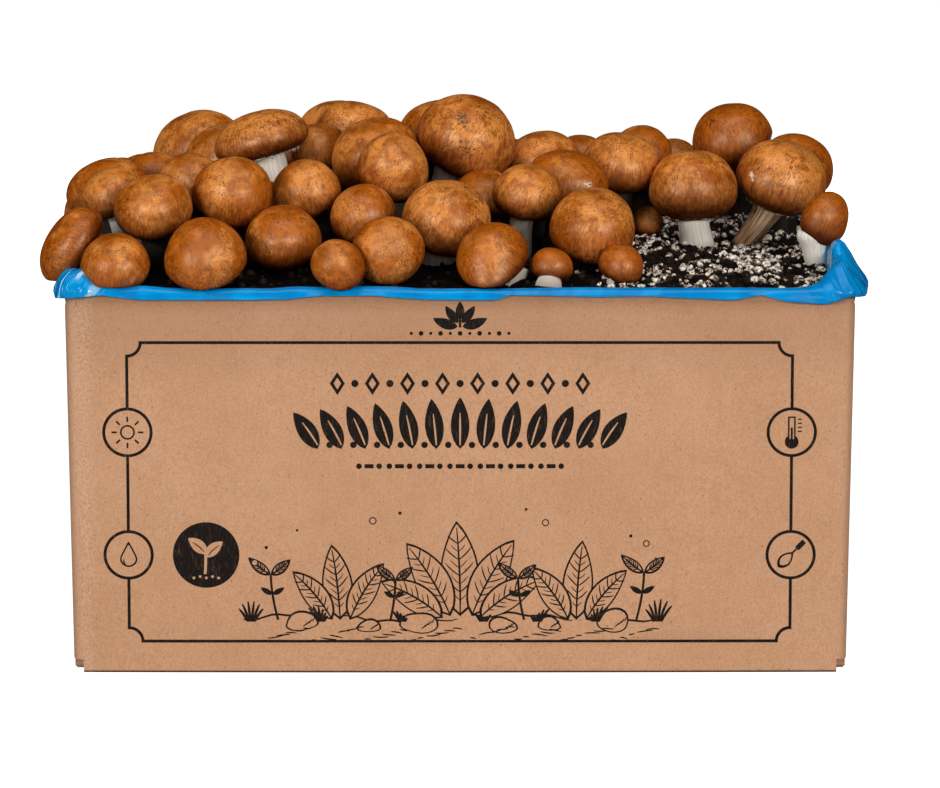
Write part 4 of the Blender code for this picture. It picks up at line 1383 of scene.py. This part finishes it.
def soilHeight(x, y):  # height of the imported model's faceted casing
    innerX, innerY = soilInner()
    cellsX, cellsY = soil["packedCells"]
    u = (x + innerX) / (2 * innerX) * cellsX + 1
    v = (y + innerY) / (2 * innerY) * cellsY + 1
    i, j = min(max(int(u), 1), cellsX), min(max(int(v), 1), cellsY)
    du, dv = min(max(u - i, 0.0), 1.0), min(max(v - j, 0.0), 1.0)
    low, high = soilGridPoint(i, j), soilGridPoint(i + 1, j + 1)
    if du > dv:
        corner = soilGridPoint(i + 1, j)
        return low + du * (corner - low) + dv * (high - corner)
    corner = soilGridPoint(i, j + 1)
    return low + dv * (corner - low) + du * (high - corner)


def reachOf(cap, way):
    along = float(way @ cap["axis"])
    tall = cap["dome"] if along > 0 else cap["under"]
    return 1 / math.sqrt(max(1 - along * along, 0.0) / cap["radius"] ** 2 + along * along / tall**2)


def settle(caps):  # crowded caps push each other apart until they only press together
    give = np.array(crop["settleGive"])
    for _ in range(crop["settlePasses"]):
        for a in range(len(caps)):
            for b in range(a + 1, len(caps)):
                apart = caps[b]["centre"] - caps[a]["centre"]
                length = np.linalg.norm(apart)
                if length > crop["settleReach"]:
                    continue
                way = apart / length
                press = reachOf(caps[a], way) + reachOf(caps[b], -way) - crop["squash"] - length
                if press > 0:
                    caps[a]["centre"] -= way * give * press / 2
                    caps[b]["centre"] += way * give * press / 2


def plantFeet(caps):
    halfX, halfY = soilHalf(soil["edgeHeight"])
    for number, cap in enumerate(caps, 1):
        low = cap["centre"] - cap["axis"] * cap["under"]
        drop = max(low[2] - soil["edgeHeight"], 10 * mm)
        slant = cap["axis"][:2] / max(cap["axis"][2], 0.5)
        shift = np.array(ownTraits["slantedStems"].get(number, (0, 0))) * mm
        cap["foot"] = low[:2] - slant * drop * crop["stemBend"] + shift
    for _ in range(crop["settlePasses"]):
        for a in range(len(caps)):
            for b in range(a + 1, len(caps)):
                apart = caps[b]["foot"] - caps[a]["foot"]
                length = max(math.hypot(*apart), 1e-6)
                need = crop["stemFlare"] * (caps[a]["stem"] + caps[b]["stem"]) + crop["feetApart"] - length
                if need > 0:
                    caps[a]["foot"] -= apart / length * need / 2
                    caps[b]["foot"] += apart / length * need / 2
        for cap in caps:
            keep = crop["stemFlare"] * cap["stem"] + soil["shoulder"] + crop["footFromFilm"]
            cap["foot"][0] = min(max(cap["foot"][0], keep - halfX), halfX - keep)
            cap["foot"][1] = min(max(cap["foot"][1], keep - halfY), halfY - keep)


def grownCaps():
    caps = []
    for x, y, z, diameter, squat, azimuth, lean in mushrooms:
        radius, tall = diameter * mm / 2, squat * diameter * mm
        caps.append({
            "centre": np.array([x, y, z]) * mm,
            "axis": direction(azimuth, lean),
            "radius": radius,
            "dome": tall * crop["domeShare"],
            "under": tall * (1 - crop["domeShare"]),
            "stem": radius * crop["stemShare"] + crop["stemExtra"],
            "turn": math.radians((x * 7 + y * 3) % 360),
        })
    settle(caps)
    plantFeet(caps)
    return caps


def acrossOf(axis):
    side = unit(np.cross(axis, [0.0, 1.0, 0.0]))
    return side, np.cross(axis, side)


def circleRound(centre, axis, radius, count, cap=None):
    side, other = acrossOf(axis)
    angles = 2 * math.pi * np.arange(count) / count
    if cap:
        oval = crop["ovalShare"] * np.cos(2 * angles - cap["turn"])
        radius = radius * (1 + oval + crop["threeLobeShare"] * np.cos(3 * angles + 2 * cap["turn"]))
    spokes = np.cos(angles)[:, None] * side + np.sin(angles)[:, None] * other
    return centre + np.reshape(radius * np.ones(count), (-1, 1)) * spokes


def stemPath(cap):
    top = cap["centre"] - cap["axis"] * cap["under"] * crop["stemTop"]
    x, y = cap["foot"]
    foot = np.array([x, y, soilHeight(x, y) + 0.5 * mm])
    bend = top - cap["axis"] * np.linalg.norm(top - foot) * crop["stemBend"]
    bend[2] = max(bend[2], foot[2] + 0.3 * (top[2] - foot[2]))
    return top, bend, foot


def coarseMushroom(cap):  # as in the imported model, used to find where neighbours press
    axis, centre, count = cap["axis"], cap["centre"], crop["coarseAround"]
    points = [[centre + axis * cap["dome"]]]
    for degrees in (34, 64, 90, 136):
        theta = math.radians(degrees)
        tall = cap["dome"] if degrees <= 90 else cap["under"]
        middle = centre + axis * tall * math.cos(theta)
        points.append(circleRound(middle, axis, cap["radius"] * math.sin(theta), count, cap))
    top, bend, foot = stemPath(cap)
    middle = 0.25 * top + 0.5 * bend + 0.25 * foot
    up = np.array([0.0, 0.0, 1.0])
    points.append(circleRound(top, axis, cap["stem"], count))
    points.append(circleRound(middle, unit(axis + up), cap["stem"], count))
    points.append(circleRound(foot, up, cap["stem"] * crop["stemFlare"], count))
    points.append([foot])
    return np.vstack(points)


def coarseGroups():  # which points make up the cap, the upper stem and the lower stem
    around = crop["coarseAround"]
    ends = ((0, 1 + 5 * around), (1 + 4 * around, 1 + 6 * around), (1 + 5 * around, 2 + 7 * around))
    return [np.arange(first, last) for first, last in ends]


def findPresses(bodies):  # the planes that part touching mushrooms: body, part, direction and level
    k = np.arange(crop["pressDirections"]) + 0.5
    z = 1 - 2 * k / crop["pressDirections"]
    turn, flat = k * math.pi * (3 - math.sqrt(5)), np.sqrt(1 - z * z)
    ways = np.stack([flat * np.cos(turn), flat * np.sin(turn), z], 1)
    groups = [(m, c, ids) for m in range(len(bodies)) for c, ids in enumerate(coarseGroups())]
    presses = []
    for _ in range(crop["pressPasses"]):
        moved, balls = 0.0, []
        for m, _, ids in groups:
            middle = bodies[m][ids].mean(0)
            balls.append((middle, np.linalg.norm(bodies[m][ids] - middle, axis=1).max()))
        for a, (m, first, firstIds) in enumerate(groups):
            for b in range(a + 1, len(groups)):
                n, second, secondIds = groups[b]
                apart = balls[b][0] - balls[a][0]
                if m == n or np.linalg.norm(apart) > balls[a][1] + balls[b][1] + crop["touchGap"]:
                    continue
                tried = np.vstack([ways, unit(apart)])
                top = (tried @ bodies[m][firstIds].T).max(1)
                bottom = (tried @ bodies[n][secondIds].T).min(1)
                best = int(np.argmax(bottom - top))
                if bottom[best] - top[best] >= crop["touchGap"]:
                    continue
                way, level = tried[best], (top[best] + bottom[best]) / 2
                for body, part, ids, sign in ((m, first, firstIds, 1.0), (n, second, secondIds, -1.0)):
                    limit = sign * level - crop["touchGap"] / 2 - 0.008 * mm
                    over = np.clip(bodies[body][ids] @ (way * sign) - limit, 0, None)
                    bodies[body][ids] -= over[:, None] * way * sign
                    moved = max(moved, float(over.max()))
                    presses.append((body, part, way * sign, limit))
        if moved == 0.0:
            break
    return presses


def fineMushroom(cap, number):
    axis, centre, radius, count = cap["axis"], cap["centre"], cap["radius"], crop["around"]
    rings, rims, alongs, parts = [], [], [], []

    def addRing(ring, rim, along, part=0):
        for row, value in ((rings, ring), (rims, rim), (alongs, along), (parts, part)):
            row.append(value)

    domeFull, underFull, closing = ownTraits["closing"].get(number, (*crop["fullness"], 0))
    wide, tall = radius, cap["under"]
    for degrees in crop["capRings"]:
        theta = math.radians(degrees + closing * max(degrees - 90, 0) / 45)
        tall = cap["dome"] if degrees <= 90 else cap["under"]
        wide = radius * math.sin(theta) ** (domeFull if degrees <= 90 else underFull)
        middle = centre + axis * tall * math.cos(theta)
        addRing(circleRound(middle, axis, wide, count, cap), degrees / crop["marginDegrees"], theta)
    lastWide, lastLevel = wide, -math.cos(theta) * tall
    for share, level in crop["lipRings"]:
        middle = centre - axis * lastLevel * level
        addRing(circleRound(middle, axis, lastWide * share, count, cap), 1.0, crop["lipAlong"])
    skinRings = len(rings) - 1
    for share, level in crop["underRings"]:
        wide = max(lastWide * share, cap["stem"] * 0.9)
        middle = centre - axis * lastLevel * level
        addRing(circleRound(middle, axis, wide, count), 0.0, crop["underAlong"])
    top, bend, foot = stemPath(cap)
    footShift = np.array([*ownTraits["footShift"].get(number, (0, 0)), 0]) * mm
    foot = foot - np.array([0, 0, crop["footSink"]]) + footShift
    top = top + np.array(ownTraits["topShift"].get(number, (0, 0, 0))) * mm
    topWide, footWide = ownTraits["stemTaper"].get(number, (1.0, 1.0))
    length = np.linalg.norm(top - foot)
    for k in range(crop["stemRings"]):
        t = k / (crop["stemRings"] - 1)
        spot = (1 - t) ** 2 * top + 2 * t * (1 - t) * bend + t * t * foot
        ahead = unit((1 - t) * (top - bend) + t * (bend - foot))
        wide = cap["stem"] * ownTraits["stemWidth"].get(number, 1.0) * (topWide * (1 - t) + footWide * t)
        wide *= 1 - (1 - 1 / topWide) * max(0.0, 1 - t / crop["stemSwell"]) ** 2
        wide *= 1.05 - 0.10 * math.sin(math.pi * min(t * 1.3, 1)) + (crop["stemFlare"] - 1.0) * t**3
        along = crop["stemAlong"] + t * length / radius
        addRing(circleRound(spot, ahead, wide, count), t, along, 1 if t < 0.5 else 2)
    points = np.vstack([[centre + axis * cap["dome"]]] + rings + [[foot]])
    ringPart = np.concatenate([[0], np.repeat(parts, count), [2]])
    large, small = crop["lumps"]
    outwards = points - centre
    outwards /= np.maximum(np.linalg.norm(outwards, axis=1), 1e-9)[:, None]
    uneven = large * latticeNoise(points, radius * 0.75, number)
    uneven = uneven + small * latticeNoise(points, radius * 0.26, number + 60)
    capPoints = ringPart == 0
    points[capPoints] += (outwards * (uneven * radius)[:, None])[capPoints]
    if number in ownTraits["ovals"]:
        degrees, longer, slimmer = ownTraits["ovals"][number]
        sine, cosine = math.sin(math.radians(degrees)), math.cos(math.radians(degrees))
        for way, scale in (((cosine, 0, sine), longer), ((-sine, 0, cosine), slimmer)):
            reach = (points[capPoints] - centre) @ np.array(way)
            points[capPoints] += (scale - 1) * reach[:, None] * np.array(way)
    fluted = 0.008 * latticeNoise(points * (1, 1, 0.12), 2.2 * mm, number + 7)
    fluted = fluted + 0.03 * latticeNoise(points, 9 * mm, number + 8)
    stemPoints = ~capPoints
    middles = np.vstack([[centre], [ring.mean(0) for ring in rings], [foot]])
    sideways = points - np.repeat(middles, [1] + [count] * len(rings) + [1], axis=0)
    points[stemPoints] += (sideways * fluted[:, None] * 1.6)[stemPoints]
    turns = np.tile(2 * math.pi * np.arange(count) / count, len(rings))
    turns = np.concatenate([[0], turns, [0]])
    along = np.concatenate([[0], np.repeat(alongs, count), [alongs[-1]]])
    spread = 1 - np.exp(-along / 0.35)
    around = np.stack([np.cos(turns) * spread, np.sin(turns) * spread, along], 1)
    rim = np.concatenate([[0], np.repeat(rims, count), [1.0]])
    return {"points": points, "part": ringPart, "around": around, "rim": rim, "skinRings": skinRings,
            "rings": len(rings)}


def pressTogether(body, press):
    _, part, way, limit = press
    chosen = body["part"] == part
    if part == 1:
        chosen |= body["part"] == 2
    beyond = body["points"][chosen] @ way - limit
    soft = crop["pressSoftness"]
    over = (np.sqrt(beyond * beyond + soft * soft) + beyond) / 2
    over = np.where(beyond < -4 * soft, 0, over)
    body["points"][chosen] -= over[:, None] * way


def keepClear(body, pressed):  # no cap sinks into the casing or the film; the rim presses some flatter
    halfX, halfY = soilHalf(soil["edgeHeight"])
    points, onCap = body["points"], np.flatnonzero(body["part"] == 0)
    rim = liner["rimTop"] + crop["clearOfFilm"]
    front = -(carton["depth"] / 2 + carton["rimFlare"] / 2 + carton["wallBow"] + crop["clearOfFront"])
    if pressed:
        low, high = points[onCap, 2].min(), points[onCap, 2].max()
        middle, hang = (low + high) / 2, liner["rimTop"] - crop["sagOverRim"]
        share = np.clip((middle - points[onCap, 2]) / (middle - low), 0, 1)
        lowest = points[onCap][share > 0.8, 1].mean()
        points[onCap, 2] += share * max(0.0, hang - low)
        points[onCap, 1] += share**2 * crop["leanOver"] * min(0.0, front - lowest)
    for index in onCap:
        x, y, z = points[index]
        overSoil = abs(x) < halfX - soil["shoulder"] and abs(y) < halfY - soil["shoulder"]
        floor = soilHeight(x, y) + crop["clearOfSoil"] if overSoil else rim
        points[index][2] = z if pressed and y < front else max(z, floor)


def mushroomFaces(body):
    count, rings = crop["around"], body["rings"]
    last, low = 1 + (rings - 1) * count, 1 + rings * count
    faces = [(0, 1 + k, 1 + (k + 1) % count) for k in range(count)]
    faces += bandFaces(rings, count, 1)
    faces += [(last + k, low, last + (k + 1) % count) for k in range(count)]
    skinFaces = body["skinRings"] * count
    return faces, [0] * skinFaces + [1] * (len(faces) - skinFaces)


def fringeTeeth(cap, body, number):  # torn bits of the veil left hanging from the margin
    long, count = ownTraits["fringes"][number], crop["around"]
    chance = np.random.default_rng(number)
    lip = 1 + len(crop["capRings"]) * count
    points, faces = [], []
    for k in range(count * 2):
        if chance.random() < crop["fringeGaps"]:
            continue
        share = (k % 2) / 2
        here, there = body["points"][lip + k // 2], body["points"][lip + (k // 2 + 1) % count]
        edge = here * (1 - share) + there * share
        ahead = unit(there - here)
        inward = unit(cap["centre"] - cap["axis"] * cap["under"] * 0.8 - edge)
        wide = (0.4 + 0.9 * chance.random()) * mm
        drop = long * (0.1 + 0.9 * chance.random() ** 1.8) * mm
        base = len(points)
        up = cap["axis"] * 0.35 * mm
        points += [edge - ahead * wide + up, edge + ahead * wide + up, edge + inward * 0.6 * mm + up]
        points += [edge - cap["axis"] * drop + inward * drop * 0.35 + ahead * (chance.random() - 0.5) * mm]
        faces += [(base, base + 1, base + 2), (base, base + 3, base + 1), (base + 1, base + 3, base + 2),
                  (base + 2, base + 3, base)]
    return np.array(points), faces


def capFinish():
    finish, tree, shader = newFinish("capSkin", 0.38, 1.0)
    shader.inputs["Specular Tint"].default_value = (1.0, 0.76, 0.50, 1)
    place = objectPlace(tree)
    around = attributeOf(tree, "around").outputs["Vector"]
    marks = attributeOf(tree, "marks").outputs
    rim, specks, tone = addNode(tree, "ShaderNodeSeparateColor", {0: marks["Color"]}).outputs
    tan, mid, deep = (0.88, 0.315, 0.062, 1), (0.54, 0.132, 0.008, 1), (0.105, 0.015, 0.0012, 1)
    facing = addNode(tree, "ShaderNodeLayerWeight", {"Blend": 0.5}).outputs["Facing"]
    tree.links.new(ranged(tree, facing, 0.08, 0.50, 0.9, 0.02), shader.inputs["Specular IOR Level"])
    broad = sums(tree, "ADD", cloudy(tree, place, 48.0, 3.0, 0.6), sums(tree, "SUBTRACT", tone, 0.5))
    patches = cloudy(tree, place, 230.0, 5.0, 0.68, 0.5)
    fibres = cloudy(tree, stretched(tree, around, (1.0, 1.0, 0.13)), 24.0, 4.0, 0.65, 0.4)
    hatching = cloudy(tree, stretched(tree, around, (1.0, 1.0, 0.30)), 30.0, 2.0, 0.6, 0.8)
    grain = cloudy(tree, place, 1000.0, 3.0, 0.65)
    clouds = cloudy(tree, place, 95.0, 2.0, 0.5, 1.0)
    lines = ranged(tree, fibres, 0.47, 0.66, 0.0, 0.60)
    lines = product(tree, lines, ranged(tree, rim, 0.30, 0.75, 0.15, 1.0))
    paleLines = ranged(tree, fibres, 0.49, 0.34, 0.0, 0.36)
    paleLines = product(tree, paleLines, ranged(tree, rim, 0.15, 0.5))
    dashes = product(tree, ranged(tree, hatching, 0.545, 0.60), ranged(tree, rim, 0.9, 0.45, 0.2, 0.85))
    dashes = product(tree, dashes, ranged(tree, cloudy(tree, place, 70.0, 2.0), 0.40, 0.62, 0.22, 1.0))
    pores = ranged(tree, spotted(tree, place, 420.0), 0.10, 0.22, 0.85, 0.0)
    pores = product(tree, pores, ranged(tree, cloudy(tree, place, 75.0, 2.0), 0.46, 0.60))
    dots = ranged(tree, spotted(tree, place, 560.0), 0.18, 0.34, 1.0, 0.0)
    dots = product(tree, dots, ranged(tree, cloudy(tree, place, 120.0, 2.0), 0.48, 0.58))
    dots = product(tree, dots, product(tree, ranged(tree, rim, 0.46, 0.20), specks))
    ragged = sums(tree, "SUBTRACT", sums(tree, "ADD", patches, fibres), 1.0)
    wander = sums(tree, "ADD", rim, product(tree, ragged, 0.35))
    pitted = ranged(tree, cloudy(tree, place, 640.0, 2.0, 0.6), 0.53, 0.60, 0.0, 0.9)
    pitted = product(tree, ranged(tree, marks["Alpha"], -0.1, -0.5), pitted)
    torn = ranged(tree, cloudy(tree, place, 480.0, 3.0, 0.65), 0.44, 0.54)
    torn = product(tree, ranged(tree, marks["Alpha"], 0.2, 0.6), torn)
    base = layered(tree, mid, (
        (broad, 0.41, 0.61, tan),
        (patches, 0.46, 0.70, 0.0, 0.56, deep),
        (clouds, 0.50, 0.70, 0.0, 0.60, (0.30, 0.060, 0.003, 1)),
        (lines, deep),
        (paleLines, tan),
        (grain, 0.50, 0.70, 0.0, 0.24, deep),
        (dashes, deep),
        (pores, (0.055, 0.014, 0.004, 1)),
        (dots, (0.030, 0.010, 0.004, 1)),
        (spotted(tree, place, 150.0), 0.05, 0.10, 0.8, 0.0, (0.06, 0.018, 0.006, 1)),
        # painted shade: margins and undersides darkened, partly the skin's own darker margin; the crowns a
        # little darker too
        (wander, 0.34, 0.74, 0.0, 0.66, (0.190, 0.034, 0.003, 1)),
        (wander, 0.62, 0.94, 0.0, 0.90, (0.060, 0.009, 0.001, 1)),
        (wander, 0.24, 0.04, 0.0, 0.22, deep),
        (pitted, (0.05, 0.013, 0.004, 1)),
        (torn, (0.84, 0.66, 0.46, 1)),
    ))
    tree.links.new(base, shader.inputs["Base Color"])
    tree.links.new(ranged(tree, patches, 0.3, 0.75, 0.32, 0.48), shader.inputs["Roughness"])
    fine = raised(tree, hatching, 0.00020, 0.4)
    lined = raised(tree, fibres, 0.00025, 0.4, fine)
    tree.links.new(raised(tree, patches, 0.0005, 0.35, lined), shader.inputs["Normal"])
    return finish


def fleshFinish():
    finish, tree, shader = newFinish("stemFlesh", 0.62, 0.12)
    place = objectPlace(tree)
    around = attributeOf(tree, "around").outputs["Vector"]
    marks = attributeOf(tree, "marks").outputs["Color"]
    low, unshaded, bruise = addNode(tree, "ShaderNodeSeparateColor", {0: marks}).outputs
    fibres = cloudy(tree, stretched(tree, around, (1.0, 1.0, 0.14)), 9.0, 4.0, 0.65)
    blotches = cloudy(tree, place, 130.0, 3.0, 0.6)
    white, shade, brown = (0.92, 0.86, 0.76, 1), (0.74, 0.66, 0.55, 1), (0.24, 0.095, 0.030, 1)
    # painted shade for the stems deep in the crowd: near black with browner blotches
    stemShade, stemShadeBrown = (0.005, 0.003, 0.002, 1), (0.018, 0.011, 0.007, 1)
    streaks = ranged(tree, sums(tree, "ADD", fibres, product(tree, low, 0.16)), 0.46, 0.74)
    base = layered(tree, white, (
        (fibres, 0.42, 0.72, shade),
        (blotches, 0.5, 0.8, 0.0, 0.4, shade),
        (low, 0.78, 1.0, 0.0, 0.5, (0.34, 0.25, 0.17, 1)),
        (bruise, 0.3, 1.0, 0.0, 0.80, (0.70, 0.44, 0.22, 1)),
        (product(tree, streaks, bruise), brown),
    ))
    base = blended(tree, unshaded, layered(tree, stemShade, ((blotches, 0.35, 0.65, stemShadeBrown),)), base)
    tree.links.new(base, shader.inputs["Base Color"])
    fine = raised(tree, fibres, 0.00015, 0.4)
    tree.links.new(raised(tree, blotches, 0.0006, 0.35, fine), shader.inputs["Normal"])
    return finish


def scarShare(cap, points, number):  # above zero on the pale torn places, below zero on the dark pitted ones
    outwards = points - cap["centre"]
    share = np.zeros(len(points))
    for towards, reach, strength in ownTraits["scars"].get(number, ()):
        cosine = outwards @ np.array(towards) / np.linalg.norm(towards) / np.linalg.norm(outwards, axis=1)
        away = cap["radius"] * np.arccos(np.clip(cosine, -1, 1))
        share += strength * (1 - smoothStep(0.3 * reach * mm, reach * mm, away))
    return share


def buildMushrooms(skin, flesh):
    caps = grownCaps()
    presses = findPresses([coarseMushroom(cap) for cap in caps])
    bodies = [fineMushroom(cap, number) for number, cap in enumerate(caps, 1)]
    for press in presses:
        pressTogether(bodies[press[0]], press)
    for number, (cap, body) in enumerate(zip(caps, bodies), 1):
        keepClear(body, number in ownTraits["pressedByRim"])
        faces, finish = mushroomFaces(body)
        points, around, rim = body["points"], body["around"], body["rim"]
        if number in ownTraits["fringes"]:
            more, moreFaces = fringeTeeth(cap, body, number)
            faces += [tuple(len(points) + v for v in face) for face in moreFaces]
            finish += [1] * len(moreFaces)
            points = np.vstack([points, more])
            around = np.vstack([around, np.tile((1.0, 0.0, crop["underAlong"]), (len(more), 1))])
            rim = np.concatenate([rim, np.zeros(len(more))])
        chance = np.random.default_rng(number + 100)
        tone = 0.5 + 0.22 * ownTraits["tone"].get(number, chance.uniform(-0.5, 0.4))
        specks = ownTraits["specks"].get(number, chance.uniform(0.0, 0.3))
        onSkin = np.arange(len(points)) < 1 + body["skinRings"] * crop["around"]
        third = np.where(onSkin, tone, ownTraits["bruised"].get(number, 0.05))
        # how far each stem keeps out of the painted shade
        usual = "shadedStem" if number < ownTraits["firstHidden"] else "hiddenStem"
        pale = ownTraits["stemsOutOfShade"].get(number, ownTraits[usual])
        second = np.where(onSkin, specks, pale)
        marks = np.stack([rim, second, third, scarShare(cap, points, number)], 1)
        shift = around + np.array([0, 0, crop["patternShift"] * number])
        attributes = {"around": ("FLOAT_VECTOR", shift), "marks": ("FLOAT_COLOR", marks)}
        name = f"mushroom_{number:02d}"
        piece = addPiece(f"grown_{name}", points, faces, (skin, flesh), finish, attributes)
        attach(piece, "root")
        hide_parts(name)


buildMushrooms(capFinish(), fleshFinish())
print("mushrooms built")


# Light, floor and background

studio = {
    "softboxes": (
        # name, place, size, watts, warmth
        ("leftSoftbox", (-1.40, -2.05, 0.85), (0.6, 0.7), 25.5, (1.0, 0.99, 0.97)),
        ("rightSoftbox", (1.25, -2.15, 0.88), (0.6, 0.7), 28, (1.0, 0.99, 0.97)),
        ("frontSoftbox", (0.05, -2.70, 0.80), (0.8, 0.4), 3, (1.0, 0.99, 0.97)),
        ("topSoftbox", (0.0, -0.55, 1.65), (1.4, 1.0), 8.5, (1.0, 1.0, 1.0)),
        ("backSoftbox", (0.0, 2.5, 0.55), (1.6, 0.7), 32, (1.0, 1.0, 1.0)),
    ),
    "ambient": 0.015,
    "floorColour": (0.40, 0.40, 0.40, 1),
    "floorGlow": 1.0,
    "floorHalf": 12.0,
    "aim": (0, 0, 0.16),
}


def addSoftbox(name, place, size, watts, warmth):
    light = bpy.data.lights.new(name, "AREA")
    light.shape = "RECTANGLE"
    light.size, light.size_y = size
    light.energy = watts
    light.color = warmth
    lamp = addObject(name, light)
    lamp.location = place
    lamp.visible_glossy = place[1] < 0  # the light behind only brightens the other views
    aim = Vector(studio["aim"]) - Vector(place)
    lamp.rotation_euler = aim.to_track_quat("-Z", "Y").to_euler()


def addWorld():
    world = bpy.data.worlds.new("studioWorld")
    world.use_nodes = True
    tree = world.node_tree
    tree.nodes.clear()
    seen = addNode(tree, "ShaderNodeLightPath").outputs["Is Camera Ray"]
    dim = addNode(tree, "ShaderNodeBackground", {"Color": (1, 1, 1, 1), "Strength": studio["ambient"]})
    white = addNode(tree, "ShaderNodeBackground", {"Color": (1, 1, 1, 1), "Strength": 1.0})
    joined = addNode(tree, "ShaderNodeMixShader", {0: seen, 1: dim.outputs[0], 2: white.outputs[0]})
    addNode(tree, "ShaderNodeOutputWorld", {"Surface": joined.outputs[0]})
    bpy.context.scene.world = world


def addFloor():
    finish, tree, shader = newFinish("studioFloor", 0.8, 0.2)
    shader.inputs["Base Color"].default_value = studio["floorColour"]
    shader.inputs["Emission Color"].default_value = (1, 1, 1, 1)
    seen = addNode(tree, "ShaderNodeLightPath").outputs["Is Camera Ray"]
    tree.links.new(product(tree, seen, studio["floorGlow"]), shader.inputs["Emission Strength"])
    half = studio["floorHalf"]
    corners = [(-half, -half, 0), (half, -half, 0), (half, half, 0), (-half, half, 0)]
    floor = addPiece("studioFloor", corners, [(0, 1, 2, 3)], (finish,))


for softbox in studio["softboxes"]:
    addSoftbox(*softbox)
addWorld()
addFloor()
bpy.context.scene.view_settings.view_transform = "Standard"
print("studio set")
